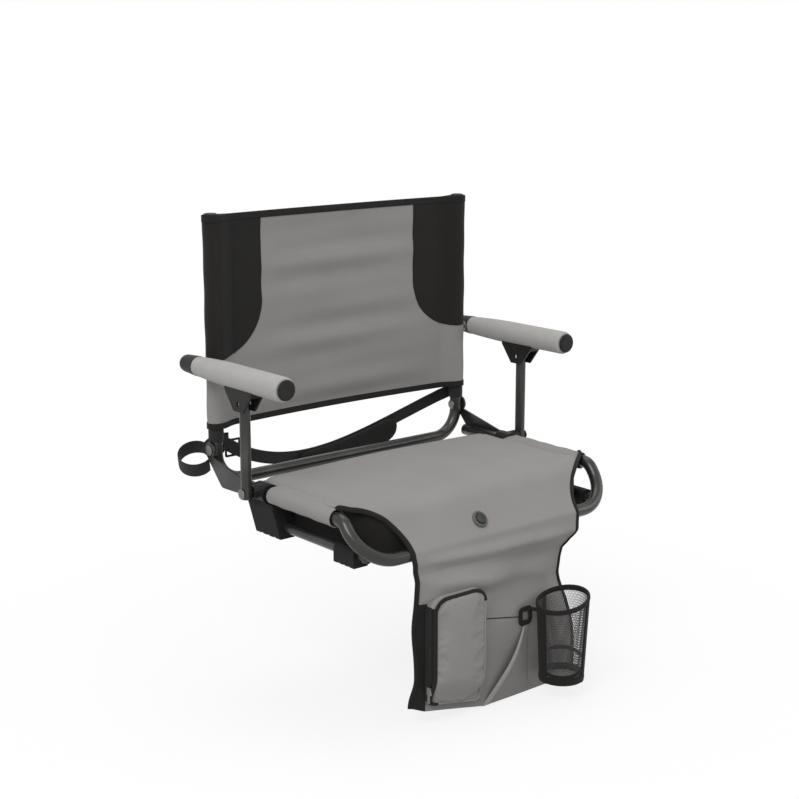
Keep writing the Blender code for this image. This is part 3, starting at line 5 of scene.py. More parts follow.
import bpy
import numpy as np
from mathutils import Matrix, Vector


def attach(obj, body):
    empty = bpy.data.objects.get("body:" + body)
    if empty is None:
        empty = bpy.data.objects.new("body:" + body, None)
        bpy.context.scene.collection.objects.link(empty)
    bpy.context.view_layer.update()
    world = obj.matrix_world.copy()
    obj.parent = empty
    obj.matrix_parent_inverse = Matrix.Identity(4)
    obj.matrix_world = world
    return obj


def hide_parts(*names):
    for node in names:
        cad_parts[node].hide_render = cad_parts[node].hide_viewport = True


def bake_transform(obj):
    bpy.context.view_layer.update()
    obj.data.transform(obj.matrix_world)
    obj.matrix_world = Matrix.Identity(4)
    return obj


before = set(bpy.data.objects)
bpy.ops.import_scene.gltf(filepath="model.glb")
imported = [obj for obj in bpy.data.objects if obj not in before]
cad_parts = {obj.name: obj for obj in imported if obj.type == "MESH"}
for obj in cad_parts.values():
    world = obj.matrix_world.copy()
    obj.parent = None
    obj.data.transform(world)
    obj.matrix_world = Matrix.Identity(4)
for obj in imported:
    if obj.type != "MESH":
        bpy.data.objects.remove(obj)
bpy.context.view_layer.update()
scene = bpy.context.scene
scene.view_settings.view_transform = "Standard"
sides = (("left", -1), ("right", 1))
right, forward, rearward, up = np.array([(1, 0, 0), (0, -1, 0), (0, 1, 0), (0, 0, 1)], float)
full_turn = 2 * math.pi


# Studio
# A seamless white sweep lies below the hem of the flap. One large soft box from the front left, a fill from
# the right and an even white surround light the seat, so that a colour renders about as it is written.

eye = Vector((-1.5155, -1.7526, 0.7050))
aim = Vector((-0.0527, 0.0, 0.1921))
lit_spot = Vector((0.0, 0.0, 0.12))
floor_z = -0.2475
soft_boxes = (
    ("key_light", (-2.5, -1.5, 2.5), 1.8, 60.0),
    ("fill_light", (2.4, -1.6, 1.2), 1.6, 12.0),
    ("top_light", (0.2, 0.6, 2.8), 1.6, 16.0),
)


def facing(name, data, place, target):
    """Adds a camera or a lamp at a place, turned to a target."""
    item = bpy.data.objects.new(name, data)
    item.location = place
    item.rotation_euler = (target - item.location).to_track_quat("-Z", "Y").to_euler()
    scene.collection.objects.link(item)
    return item


optics = bpy.data.cameras.new("camera")
optics.lens = 71.17
optics.sensor_width = 36.0
optics.sensor_fit = "HORIZONTAL"
scene.camera = facing("camera", optics, eye, aim)
for name, place, size, power in soft_boxes:
    lamp = bpy.data.lights.new(name, "AREA")
    lamp.size = size
    lamp.energy = power
    facing(name, lamp, place, lit_spot)


class Shade:
    """One socket of a node tree. Arithmetic on shades and numbers adds Math nodes; node adds any other."""

    def __init__(self, tree, socket=None):
        self.tree = tree
        self.socket = socket

    def node(self, kind, sockets, output=0, **settings):
        """Adds a node, with values or shades for its sockets, and gives one of its outputs."""
        made = self.tree.nodes.new(f"ShaderNode{kind}")
        for name, value in settings.items():
            setattr(made, name, value)
        for name, value in sockets.items():
            if isinstance(value, Shade):
                self.tree.links.new(value.socket, made.inputs[name])
            else:
                made.inputs[name].default_value = value
        return Shade(self.tree, made.outputs[output])

    def maths(self, operation, *values):
        return self.node("Math", dict(enumerate(values)), operation=operation)

    def __add__(self, other):
        return self.maths("ADD", self, other)

    def __mul__(self, other):
        return self.maths("MULTIPLY", self, other)

    def __rsub__(self, other):
        return self.maths("SUBTRACT", other, self)

    __radd__ = __add__
    __rmul__ = __mul__

    def step(self, low, high):
        """From 0 below low to 1 above high, smoothly."""
        ends = {"Value": self, "From Min": low, "From Max": high}
        return self.node("MapRange", ends, interpolation_type="SMOOTHSTEP")

    def mix(self, low, high):
        """The colour low where this shade is 0 and high where it is 1."""
        low, high = (tone if isinstance(tone, Shade) else (*tone, 1.0) for tone in (low, high))
        return self.node("Mix", {0: self, 6: low, 7: high}, 2, data_type="RGBA")

    def bump(self, strength, distance):
        """A normal that takes this shade as a height."""
        return self.node("Bump", {"Height": self, "Strength": strength, "Distance": distance})

    def ray(self, kind, *others):
        """1 where the ray that arrives is of one of the kinds, else 0."""
        this = self.node("LightPath", {}, f"Is {kind} Ray")
        return self.maths("MAXIMUM", this, self.ray(*others)) if others else this

    def place(self, chart, axis=None):
        """Where the point is: in metres on the Object or on its UV chart, or one axis of that."""
        place = self.node("TexCoord", {}, chart)
        return self.node("SeparateXYZ", {0: place}, axis) if axis else place

    def cloudy(self, scale, detail=3.0):
        """Soft noise from 0 to 1 with its patches about 1 / scale metres across."""
        return self.node("TexNoise", {"Vector": self.place("Object"), "Scale": scale, "Detail": detail})


surround = bpy.data.worlds.new("surround")
surround.use_nodes = True
scene.world = surround
sky = surround.node_tree.nodes["Background"]
sky.inputs["Color"].default_value = (1.0, 1.0, 1.0, 1.0)
strength = 0.60 + 0.40 * Shade(surround.node_tree).ray("Camera", "Glossy", "Transmission")
surround.node_tree.links.new(strength.socket, sky.inputs["Strength"])


def grid_of(*coordinates):
    """Points from coordinates that are spread over one another's rows and columns."""
    return np.stack(np.broadcast_arrays(*coordinates), axis=-1)


def surface(name, points, around=False, along=False, caps=False):
    """A mesh of quads over a grid of points, rows by columns. Around closes each row on itself, along joins
    the last row to the first, and caps fill the end rows. The UV map is arc length across and along."""
    columns = points.shape[1]
    index = np.arange(points.shape[0] * columns).reshape(-1, columns)
    if around:
        index = np.hstack([index, index[:, :1]])
    if along:
        index = np.vstack([index, index[:1]])
    spread = points.reshape(-1, 3)[index]
    across = np.linalg.norm(np.diff(spread, axis=1, prepend=spread[:, :1]), axis=2).cumsum(axis=1)
    down = np.linalg.norm(np.diff(spread, axis=0, prepend=spread[:1]), axis=2).cumsum(axis=0)
    flat = grid_of(across - across.mean(axis=1, keepdims=True), down)

    def corners(grid):
        return np.stack([grid[:-1, :-1], grid[1:, :-1], grid[1:, 1:], grid[:-1, 1:]], axis=2)

    faces = corners(index).reshape(-1, 4).tolist()
    charts = corners(flat).reshape(-1, 2)
    if caps:
        faces += [index[0, :columns].tolist(), index[-1, :columns][::-1].tolist()]
        charts = np.concatenate([charts, np.zeros((2 * columns, 2))])
    return mesh_piece(name, points.reshape(-1, 3), faces, charts)


def mesh_piece(name, points, faces, charts=None):
    """A smooth shaded object in the row frame from points, faces and a UV pair for each face corner."""
    mesh = bpy.data.meshes.new(name)
    mesh.from_pydata(points.tolist(), [], faces)
    if charts is not None:
        mesh.uv_layers.new(name="UVMap").data.foreach_set("uv", charts.ravel().astype(np.float32))
    mesh.polygons.foreach_set("use_smooth", np.ones(len(faces), bool))
    piece = bpy.data.objects.new(name, mesh)
    scene.collection.objects.link(piece)
    return piece


floor_line = np.linspace(-9.0, 9.0, 19)
sweep = surface("studio_sweep", grid_of(floor_line[None, :], -floor_line[:, None], floor_z))
sweep_white = bpy.data.materials.new("sweep_white")
sweep_white.use_nodes = True
start = Shade(sweep_white.node_tree)
far_out = start.node("VectorMath", {0: start.place("Object")}, "Value", operation="LENGTH")
seen = start.ray("Camera", "Glossy")
matt = start.node("BsdfDiffuse", {"Color": seen.mix((0.60, 0.60, 0.60), (0.95, 0.95, 0.95))})
glow = start.node("Emission", {"Color": (1.0, 1.0, 1.0, 1.0)})
glowing = seen * (0.80 + 0.20 * far_out.step(0.35, 1.05))
white = start.node("MixShader", {0: glowing, 1: matt, 2: glow})
sweep_end = sweep_white.node_tree.nodes["Material Output"]
sweep_white.node_tree.links.new(white.socket, sweep_end.inputs["Surface"])
sweep.data.materials.append(sweep_white)


# Seat frame
# One 19 mm steel tube, bent into two side tubes that dip at the front and join in a low front bar. It is
# powder coated gunmetal, and its open rear ends are closed with plastic plugs.

tube_radius = 0.0095
post_x = 0.2427
seat_tube_z = 0.067
tube_rear_y = 0.178
bar_y = -0.152
bar_z = 0.0116
seat_slope = math.radians(51)
slope_bend = 0.020
front_bend = 0.058


def unit(vectors):
    """Vectors divided by their lengths."""
    return vectors / np.linalg.norm(vectors, axis=-1, keepdims=True)


def circle(count):
    """Even angles once round."""
    return np.linspace(0.0, full_turn, count, endpoint=False)


def bent_path(half, radii, steps=14):
    """A path through corner points and their mirror images, last to first, whose inner corners are arcs: each
    arc starts radius times the tangent of half the turn before its corner, and is drawn by turning the way in
    towards the way out."""
    corners = np.array(half + [(-x, y, z) for x, y, z in reversed(half)])
    points = [corners[0]]
    for before, here, after, radius in zip(corners, corners[1:], corners[2:], radii):
        way_in = unit(here - before)
        way_out = unit(after - here)
        turn = math.acos(float(way_in @ way_out))
        inward = unit(way_out - way_in * math.cos(turn))
        angles = np.linspace(0.0, turn, steps)[:, None]
        first = here - way_in * radius * math.tan(turn / 2)
        points += list(first + radius * (np.sin(angles) * way_in + (1.0 - np.cos(angles)) * inward))
    return np.array(points + [corners[-1]])


def swept(path, section, upright):
    """A section, as pairs of widths and heights, carried along a path: its width lies along the tangent
    crossed with the upright, and its height square to both."""
    tangent = unit(np.gradient(path, axis=0))
    side = unit(np.cross(tangent, upright))
    top = np.cross(side, tangent)
    return path[:, None] + section[None, :, :1] * side[:, None] + section[None, :, 1:] * top[:, None]


def disc(radius, height=None, count=40):
    """Points of a circle, or of an ellipse with another height."""
    turn = circle(count)
    return grid_of(radius * np.cos(turn), (height or radius) * np.sin(turn))


def rod(name, path, section, upright, *dress):
    """A dressed piece of one section along a path, closed at its ends."""
    return dressed(surface(name, swept(path, section, upright), around=True, caps=True), *dress)


class Finish(Shade):
    """A material of one Principled shader that keeps its slot's name, as a first shade to build on."""

    def __init__(self, name, slot, **constants):
        self.material = bpy.data.materials.new(name)
        self.material.use_nodes = True
        self.slot = slot
        super().__init__(self.material.node_tree)
        for socket, value in constants.items():
            self.socket_of(socket).default_value = value

    def socket_of(self, name):
        """The shader's input of a name written with underscores."""
        return self.tree.nodes["Principled BSDF"].inputs[name.replace("_", " ")]

    def feed(self, **shades):
        """Links shades to the shader's sockets."""
        for socket, shade in shades.items():
            self.tree.links.new(shade.socket, self.socket_of(socket))
        return self


def moulded_plastic(name, tone, roughness):
    """Dark moulded plastic: a fine spark grain and slightly paler handled patches."""
    plastic = Finish(name, "black_plastic", Specular_IOR_Level=0.18)
    grain = plastic.cloudy(2600.0, 2.0)
    handled = plastic.cloudy(35.0).step(0.4, 0.8)
    return plastic.feed(
        Base_Color=handled.mix((tone, tone, tone), (1.6 * tone, 1.57 * tone, 1.54 * tone)),
        Roughness=roughness + 0.10 * grain,
        Normal=grain.bump(0.30, 0.0002),
    )


def dressed(piece, body, finish, *stands_for):
    """Gives a piece its finish and its body, unless it has two, and hides the CAD nodes it stands for."""
    piece.data.materials.append(finish.material)
    if isinstance(body, str):
        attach(piece, body)
    else:
        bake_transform(piece)
    if stands_for:
        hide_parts(*stands_for)
    return piece


def refinished(finish, *names):
    """Gives CAD nodes whose shape is right a finish, and a fine bevel over their welded edges."""
    for name in names:
        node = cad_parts[name]
        node.data.materials.clear()
        node.data.materials.append(finish.material)
        node.modifiers.new("weld", "WELD").merge_threshold = 0.00002
        edge = node.modifiers.new("edge", "BEVEL")
        edge.width = 0.0006
        edge.segments = 2
        edge.limit_method = "ANGLE"
        edge.angle_limit = math.radians(40)


# The coat has a fine orange peel, and shines a little more where hands have rubbed it.
coat = Finish("gunmetal_coat", "frame_steel", Metallic=0.5)
rubbed = coat.cloudy(22.0, 4.0).step(0.45, 0.75)
coat.feed(
    Base_Color=rubbed.mix((0.040, 0.0395, 0.038), (0.064, 0.063, 0.061)),
    Roughness=0.27 - 0.07 * rubbed,
    Normal=coat.cloudy(1400.0, 2.0).bump(0.08, 0.0002),
)
black_plastic = moulded_plastic("black_plastic", 0.013, 0.44)
slope_top_y = bar_y + (seat_tube_z - bar_z) / math.tan(seat_slope)
tube_half = [(post_x, tube_rear_y, seat_tube_z), (post_x, slope_top_y, seat_tube_z), (post_x, bar_y, bar_z)]
tube_path = bent_path(tube_half, [slope_bend, front_bend, front_bend, slope_bend])
rod("seat_tube", tube_path, disc(tube_radius), (0.12, 0.25, 1.0), "seat", coat, "seat_frame")
refinished(black_plastic, "tube_plug_left", "tube_plug_right")


# Base rails and feet
# A thinner steel rail runs under each side, from the front bend back to a moulded rubber foot below the
# arm post, with a second foot near its front end.

rail_radius = 0.008
rail_x = 0.2247
rail_z = 0.017
rail_ends = (0.0955, -0.139)
rubber = Finish("foot_rubber", "black_rubber", Specular_IOR_Level=0.15)
scuffed = rubber.cloudy(60.0, 4.0).step(0.45, 0.8)
rubber.feed(
    Base_Color=scuffed.mix((0.012, 0.0118, 0.0115), (0.026, 0.025, 0.024)),
    Roughness=0.70 + 0.15 * scuffed,
    Normal=rubber.cloudy(1500.0).bump(0.3, 0.0003),
)
for side, sign in sides:
    rail_path = np.linspace(*((sign * rail_x, y, rail_z) for y in rail_ends), 40)
    rod(f"rail_{side}", rail_path, disc(rail_radius), up, "seat", coat, f"base_rail_{side}")
    refinished(rubber, f"rear_foot_{side}", f"front_foot_{side}")


# Hinge plates, clamps and pins
# Pressed steel plates on the side tubes carry the rivets that the backrest turns on; plastic clamps on the
# tubes carry the pins of the arm posts. The rivets are zinc plated and passivated dark.

zinc = Finish("dark_zinc", "bright_steel", Metallic=1.0)
brushed = zinc.cloudy(900.0)
zinc.feed(
    Base_Color=brushed.mix((0.15, 0.15, 0.146), (0.24, 0.237, 0.23)),
    Roughness=0.34 + 0.16 * brushed,
)
for side, sign in sides:
    refinished(coat, f"hinge_plate_{side}")
    refinished(black_plastic, f"post_bracket_{side}")
    refinished(zinc, f"hinge_pin_{side}", f"post_pin_{side}")


# Seat cover and pocket flap
# One length of grey polyester canvas runs from the rear of the padded seat over its rolled front edge, is
# sewn round the front bar and hangs down as the flap. Its front corners are scooped out to bare the tube.

seat_rear_y = 0.110
seat_top_z = 0.0768
roll_radius = 0.045
bar_sleeve = 0.0113
cloth_thickness = 0.0015
seat_half_width = 0.2402
sleeve_rear_y = 0.058
rear_tuck = 0.0172
notch_depth = 0.0771
flap_half_width = 0.158
hem_low_z = -0.2440
hem_lift = 0.0255
hem_flat_x = -0.030
seat_crown = 0.0048
pocket_left_x = -0.143
swag_depth = 0.012
bar_folds = ((0.0060, 0.018, 0.05, 0.009), (-0.0045, 0.040, 0.10, 0.011), (0.0032, 0.062, 0.16, 0.012))

tangent_y = bar_y - bar_sleeve * math.sin(seat_slope)
tangent_z = bar_z + bar_sleeve * math.cos(seat_slope)
roll_reach = roll_radius * math.tan(seat_slope / 2)
roll_start_y = tangent_y + (seat_top_z - tangent_z) / math.tan(seat_slope) + roll_reach
flat_length = seat_rear_y - roll_start_y
roll_length = roll_radius * seat_slope
slope_length = (seat_top_z - tangent_z) / math.sin(seat_slope) - roll_reach
wrap_length = bar_sleeve * (math.pi / 2 - seat_slope)
bar_front = flat_length + roll_length + slope_length + wrap_length


def smooth(value, low, high):
    """From 0 at low to 1 at high along a smooth step."""
    share = np.clip((value - low) / (high - low), 0.0, 1.0)
    return share * share * (3.0 - 2.0 * share)


def bell(value, middle, spread):
    """A bell curve, 1 at the middle."""
    return np.exp(-(((value - middle) / spread) ** 2))


def seat_profile(far):
    """Where the seat's profile is at a distance along it from the rear edge, as (y, z, tilt): level, then an
    arc down to the slope, the straight slope, an arc round the front bar and the hanging flap."""
    on_roll = np.clip((far - flat_length) / roll_radius, 0.0, seat_slope)
    on_slope = np.clip(far - flat_length - roll_length, 0.0, slope_length)
    on_wrap = np.clip((far - bar_front + wrap_length) / bar_sleeve, 0.0, math.pi / 2 - seat_slope)
    hang = np.clip(far - bar_front, 0.0, None)
    y = seat_rear_y - np.clip(far, 0.0, flat_length) - roll_radius * np.sin(on_roll)
    y -= on_slope * math.cos(seat_slope) + bar_sleeve * (np.sin(seat_slope + on_wrap) - math.sin(seat_slope))
    z = seat_top_z - roll_radius * (1.0 - np.cos(on_roll)) - on_slope * math.sin(seat_slope)
    z += bar_sleeve * (np.cos(seat_slope + on_wrap) - math.cos(seat_slope)) - hang
    return y, z, on_roll + on_wrap


def cover_half_width(far):
    """Half the cover's width: full beside the tubes, tucked in at the rear and scooped out at the front
    corners along a quarter sine."""
    gone = 0.5 * np.clip((far - flat_length) / roll_length, 0.0, 1.0)
    gone += 0.5 * np.clip((far - flat_length - roll_length) / slope_length, 0.0, 1.0)
    half_width = seat_half_width - notch_depth * np.sin(gone * math.pi / 2)
    half_width -= rear_tuck * np.clip((seat_profile(far)[0] - sleeve_rear_y) / 0.008, 0.0, 1.0)
    edge = seat_half_width - notch_depth
    return half_width + (flap_half_width - edge) * smooth(far, bar_front, bar_front + 0.04)


def hem_z(x):
    """The flap's lower edge, which rises in a straight line to its left corner."""
    return hem_low_z + hem_lift * np.clip((hem_flat_x - x) / (hem_flat_x + flap_half_width), 0.0, 1.0)


def edge_curl(x, z):
    """How far the hanging flap goes back: in a fold at its right behind the cup holder, and in two curls of
    its left edge, beside the zip pocket and at the lower corner."""
    behind_cup = 0.030 * smooth(x, 0.094, flap_half_width) * bell(z, -0.086, 0.055)
    behind_cup += 0.009 * smooth(x, -0.040, 0.050) * bell(z, -0.070, 0.040)
    foot = hem_z(-flap_half_width)
    left = 0.006 * bell(z, -0.100, 0.035) + 0.014 * smooth(-z, -foot - 0.050, -foot)
    return behind_cup + left * smooth(-x, -pocket_left_x, flap_half_width)


def cover_points(far, share, lift=0.0):
    """Points of the cover for distances along it and shares across it, raised by a lift along its normal.
    It swells between its sides, rises on to the side tubes, folds and swags out over the zip pocket below
    the bar and curls at its lower edges."""
    y, z, tilt = seat_profile(far)
    x = share * cover_half_width(far)
    hang = far - bar_front
    on_seat = 1.0 - smooth(far, flat_length + 0.3 * roll_length, bar_front - wrap_length)
    beside = 1.0 - smooth(far, flat_length, flat_length + 0.4 * roll_length)
    corner = bell(far, flat_length + 0.4 * roll_length, 0.030)
    out = lift + seat_crown * (1.0 - share**2) * on_seat
    out += (0.0026 * smooth(np.abs(x), 0.224, 0.2385) - 0.0030 * bell(np.abs(x), 0.220, 0.005)) * beside
    out += 0.0045 * corner * smooth(np.abs(share), 0.55, 0.92)
    out += 0.0005 * np.sin(19.0 * x + 31.0 * far) * np.sin(43.0 * far - 7.0 * x) * on_seat
    out += 0.0018 * smooth(hang, 0.0, 0.020) + 0.0009 * np.sin(24.0 * x + 1.3) * smooth(hang, 0.03, 0.10)
    swag = smooth(hang, 0.004, 0.055) * (1.0 - smooth(hang, 0.062, 0.085))
    out += swag_depth * swag * (smooth(x, -flap_half_width, -0.120) - smooth(x, -0.035, 0.060))
    inside = 0.35 + 0.65 * smooth(x, -flap_half_width, -0.110)
    for height, place, slant, width in bar_folds:
        out += height * inside * bell(hang, place + slant * x, width)
    curl = edge_curl(x, z) * smooth(hang, 0.0, 0.030)
    return grid_of(x, y - out * np.sin(tilt) + curl, z + out * np.cos(tilt))


def woven(name, slot, colour, paler, sheen=0.10, above=None):
    """Plain woven cloth on its UV map in metres: the product of two sine combs lifts each crossing, fibres
    blur it, and the yarn varies a little in shade. Above a height, other colours can take over."""
    cloth = Finish(name, slot, Sheen_Weight=sheen, Sheen_Roughness=0.5, Specular_IOR_Level=0.2)
    combs = [cloth.maths("SINE", cloth.place("UV", axis) * (full_turn / yarn_pitch)) for axis in "XY"]
    crossing = combs[0] * combs[1]
    fibre = cloth.cloudy(2200.0, 2.0)
    shade = 0.42 * cloth.cloudy(14.0) + 0.38 * cloth.cloudy(380.0) + 0.10 * crossing + 0.06
    tone = shade.mix(colour, paler)
    if above:
        height, *upper_tones = above
        over = cloth.place("Object", "Z").step(height - 0.0006, height + 0.0006)
        tone = over.mix(tone, shade.mix(*upper_tones))
    normal = (0.5 * crossing + 0.5 * fibre).bump(0.35, 0.0004)
    return cloth.feed(Base_Color=tone, Roughness=0.86 + 0.08 * fibre, Normal=normal)


def thickened(piece, thickness, offset=-1.0):
    """Gives a sheet its thickness behind its face."""
    wall = piece.modifiers.new("thickness", "SOLIDIFY")
    wall.thickness = thickness
    wall.offset = offset
    return piece


def sheet(name, points, thickness, *dress, around=False):
    """A dressed sheet of cloth."""
    return dressed(thickened(surface(name, points, around), thickness), *dress)


yarn_pitch = 0.0011
black_tones = ((0.0104, 0.0097, 0.0091), (0.0208, 0.0194, 0.0184))
canvas_tones = ((0.238, 0.228, 0.221), (0.331, 0.318, 0.309))
grey_canvas = woven("grey_canvas", "grey_cloth", *canvas_tones)
black_cloth = woven("black_cloth", "black_cloth", *black_tones, sheen=0.04)
bar_turn = ("seat", "flap", (0.0, bar_y, bar_z + 0.012), (0.0, bar_y, bar_z - 0.022))
share = np.linspace(-1.0, 1.0, 151)[None, :]
seat_far = np.concatenate([np.linspace(0.0, flat_length, 60)[:-1], np.linspace(flat_length, bar_front, 56)])
hang_far = np.linspace(0.0, 1.0, 96)[1:, None] * (bar_z - hem_z(share * flap_half_width))
cover_far = np.concatenate([seat_far[:, None] + 0 * share, bar_front + hang_far])
cover_grid = cover_points(cover_far, share)
cover_dress = (bar_turn, grey_canvas, "seat_cover", "flap_panel")
cover = sheet("seat_and_flap_cloth", cover_grid, cloth_thickness, *cover_dress)


# Bindings and hem of the cover
# Black tape is folded over the cut edges and stitched down, round the scooped corners and on down both sides
# of the flap; a wider black strip lies on the margin left of the pocket. The foot is turned up in a hem.

black_strip_top_z = -0.060
binding_size = (0.0039, 0.0019)
stitch_pitch = 0.0046
stitch_length = 0.0034
stitch_thick = 0.00042


def on_flap(x, z, lift):
    """Points a lift in front of the hanging flap."""
    return cover_points(bar_front + bar_z - z, x / flap_half_width, lift)


def run_of(path):
    """How far along a path each of its points is."""
    return np.linalg.norm(np.diff(path, axis=0, prepend=path[:1]), axis=1).cumsum()


def resampled(path, count):
    """The same path with points at even distances along it."""
    far = run_of(path)
    even = np.linspace(0.0, far[-1], count)
    return np.stack([np.interp(even, far, line) for line in path.T], axis=1)


def scattered(name, places, axes):
    """Copies of a pointed bar with a square section: at each place, a point's three numbers go along that
    place's three axes."""
    square = np.array([(1, 1), (-1, 1), (-1, -1), (1, -1)]) * 0.7
    points = [(-0.5, 0, 0), *((end, a, b) for end in (-0.34, 0.34) for a, b in square), (0.5, 0, 0)]
    faces = []
    for here, after in ((0, 1), (1, 2), (2, 3), (3, 0)):
        faces.append((1 + here, 5 + here, 5 + after, 1 + after))
        faces += [(0, 1 + here, 1 + after), (9, 5 + after, 5 + here)]
    spread = places[:, None] + np.einsum("pk,nkc->npc", np.array(points), axes)
    offsets = np.arange(len(places))[:, None] * len(points)
    copied = [face for shape in faces for face in (offsets + np.array(shape)).tolist()]
    return mesh_piece(name, spread.reshape(-1, 3), copied)


def stitched(name, path, body, thread):
    """A row of lockstitches along a path, a little proud of the front of the cloth."""
    places = resampled(path, max(2, int(run_of(path)[-1] / stitch_pitch)))
    tangent = unit(np.gradient(places, axis=0))
    proud = unit(forward - tangent * (tangent @ forward)[:, None])
    axes = (tangent * stitch_length, np.cross(proud, tangent) * stitch_thick, proud * stitch_thick)
    row = scattered(name, places + proud * stitch_thick * 0.4, np.stack(axes, axis=1))
    return dressed(row, body, thread)


grey_thread = woven("grey_thread", "grey_cloth", (0.26, 0.255, 0.25), (0.34, 0.33, 0.325))
thread_tones = ((0.014, 0.0136, 0.0134), (0.028, 0.027, 0.0265))
black_thread = woven("black_thread", "black_cloth", *thread_tones, sheen=0.04)
for side, sign in sides:
    last = float(bar_front + bar_z - hem_z(sign * flap_half_width))
    edge_far = [np.linspace(flat_length - 0.004, bar_front, 60), np.linspace(bar_front + 0.003, last, 90)]
    edge_far = np.concatenate(edge_far)
    edge_line = cover_points(edge_far, sign + 0 * edge_far, -cloth_thickness / 2)
    binding_up = (0.35 * sign, -1.0, 0.55)
    section = disc(*binding_size, 16)
    binding = rod(f"cover_binding_{side}", edge_line, section, binding_up, bar_turn, black_cloth)
# A strip of black cloth lies on the flap's left margin, beside the pocket, from below its top down to the
# hem.
black_strip_x = np.linspace(-flap_half_width, pocket_left_x, 12)[None, :]
black_strip_z = black_strip_top_z + np.linspace(0.0, 1.0, 80)[:, None] * (hem_z(black_strip_x) - black_strip_top_z)
black_strip_grid = on_flap(black_strip_x, black_strip_z, 0.0010)
sheet("flap_left_black_strip", black_strip_grid, 0.0010, "flap", black_cloth)
hem_x = share * flap_half_width
hem_rise = np.linspace(0.009, -0.0006, 6)[:, None]
hem_grid = on_flap(hem_x, hem_z(hem_x) + hem_rise, 0.0008)
sheet("flap_hem", hem_grid, 0.0030, "flap", grey_canvas)
row_x = np.linspace(-0.89, 0.97, 200) * flap_half_width
hem_row = on_flap(row_x, hem_z(row_x) + 0.0075, 0.0009)
stitched("flap_hem_stitch", hem_row, "flap", grey_thread)
row_x = np.linspace(-0.97, 0.97, 200) * flap_half_width
sleeve_row = on_flap(row_x, bar_z - 0.026 + 0 * row_x, 0.0002)
stitched("bar_sleeve_stitch", sleeve_row, "flap", grey_thread)


# Seat pad
# A foam pad with the heater on it lies under the cover in a tub of black cloth, which is sewn to the cover's
# underside along its brim and closes the seat off between the rails.

tub_half_width = 0.2107
tub_front_y = -0.1323
tub_foot_z = 0.0102
brim_inset = 0.0030
brim_depth = 0.0022
pad_depth = 0.0044
quilt_pitch = 0.075
quilt_height = 0.0010
tub_wall = ((0.85, -0.0008), (0.5, -0.0014), (0.2, -0.0010), (0.08, 0.0), (0.03, 0.0014), (0.0, 0.0050))


def on_profile(y):
    """How far along the seat's profile a depth lies, behind the front bar."""
    far = np.linspace(0.0, bar_front - wrap_length, 400)
    return np.interp(-y, -seat_profile(far)[0], far)


tub_side_y = np.linspace(seat_rear_y, tub_front_y, 90)
tub_half = np.minimum(tub_half_width, cover_half_width(on_profile(tub_side_y)) - brim_inset)
tub_left = grid_of(-tub_half, tub_side_y)
plan = resampled(np.concatenate([tub_left, (tub_left * (-1, 1))[::-1], tub_left[:1]]), 281)[:-1]
plan = np.mean([np.roll(plan, shift, axis=0) for shift in range(-3, 4)], axis=0)
along = np.roll(plan, -1, axis=0) - np.roll(plan, 1, axis=0)
outward = unit(grid_of(along[:, 1], -along[:, 0]))
middle = plan.mean(axis=0)
pad_rings = []
for shrink in np.linspace(0.04, 0.97, 16):
    ring = middle + (plan - middle) * shrink
    pad_rings.append(np.column_stack([ring, seat_profile(on_profile(ring[:, 1]))[1] - pad_depth]))
brim_z = seat_profile(on_profile(plan[:, 1]))[1] - brim_depth
pad_rings.append(np.column_stack([plan, brim_z]))
for height, inset in tub_wall:
    pad_rings.append(np.column_stack([plan - outward * inset, tub_foot_z + (brim_z - tub_foot_z) * height]))
foot_ring = pad_rings[-1][:, :2] - middle
for shrink in np.linspace(0.93, 0.04, 18):
    ring = middle + foot_ring * shrink
    quilt = quilt_height * np.cos(ring * full_turn / quilt_pitch).prod(axis=1)
    pad_rings.append(np.column_stack([ring, tub_foot_z - 0.0012 * (1.0 - shrink**2) + quilt]))
seat_pad = surface("seat_pad", np.array(pad_rings), around=True, caps=True)
dressed(seat_pad, "seat", black_cloth, "seat_bottom_cover", "seat_foam")
heater_film = Finish("heater_film", "heater_film")
heater_film.feed(
    Base_Color=heater_film.cloudy(500.0).mix((0.16, 0.09, 0.04), (0.22, 0.13, 0.06)),
    Roughness=0.45 + 0.2 * heater_film.cloudy(200.0),
)
refinished(heater_film, "heating_element")
refinished(black_plastic, "controller")


# Seat sleeves
# The cover goes on round each side tube as a sewn sleeve of the same canvas that slides over the frame. It
# is closed by a seam along the underside of the tube.

for side, sign in sides:
    sleeve_y = np.linspace(roll_start_y + 0.001, sleeve_rear_y, 90)[:, None]
    turn = circle(48)[None, :]
    slack = 0.0004 * np.sin(160.0 * sleeve_y + 2.0 * turn) + 0.0003 * np.sin(61.0 * sleeve_y)
    radius = bar_sleeve + 0.0003 + slack * np.sin(turn) ** 2
    ring = grid_of(sign * post_x + radius * np.cos(turn), sleeve_y, seat_tube_z - radius * np.sin(turn))
    dress = ("seat", grey_canvas, f"seat_sleeve_{side}")
    sleeve = sheet(f"side_sleeve_{side}", ring, 0.0011, *dress, around=True)


# Heater button
# A round push button in a low collar on the front slope of the seat switches the heater. Both are moulded
# plastic; the collar is clipped into the cover.

button_far = bar_front - wrap_length - 0.022
button_y, button_z, button_tilt = (float(value) for value in seat_profile(np.array(button_far)))
button_up = np.array((0.0, -math.sin(button_tilt), math.cos(button_tilt)))
button_place = np.array((-0.025, button_y, button_z))


def turned_piece(name, stations, place, axis, *dress, count=48, closed=False):
    """A solid of revolution about an axis square to X: stations are (distance along the axis, radius)."""
    turn = circle(count)[:, None]
    ring = np.cos(turn) * right + np.sin(turn) * np.cross(axis, right)
    far = np.array(stations)
    points = place + far[:, :1, None] * axis + far[:, 1:, None] * ring
    return dressed(surface(name, points, around=True, along=closed, caps=not closed), *dress)


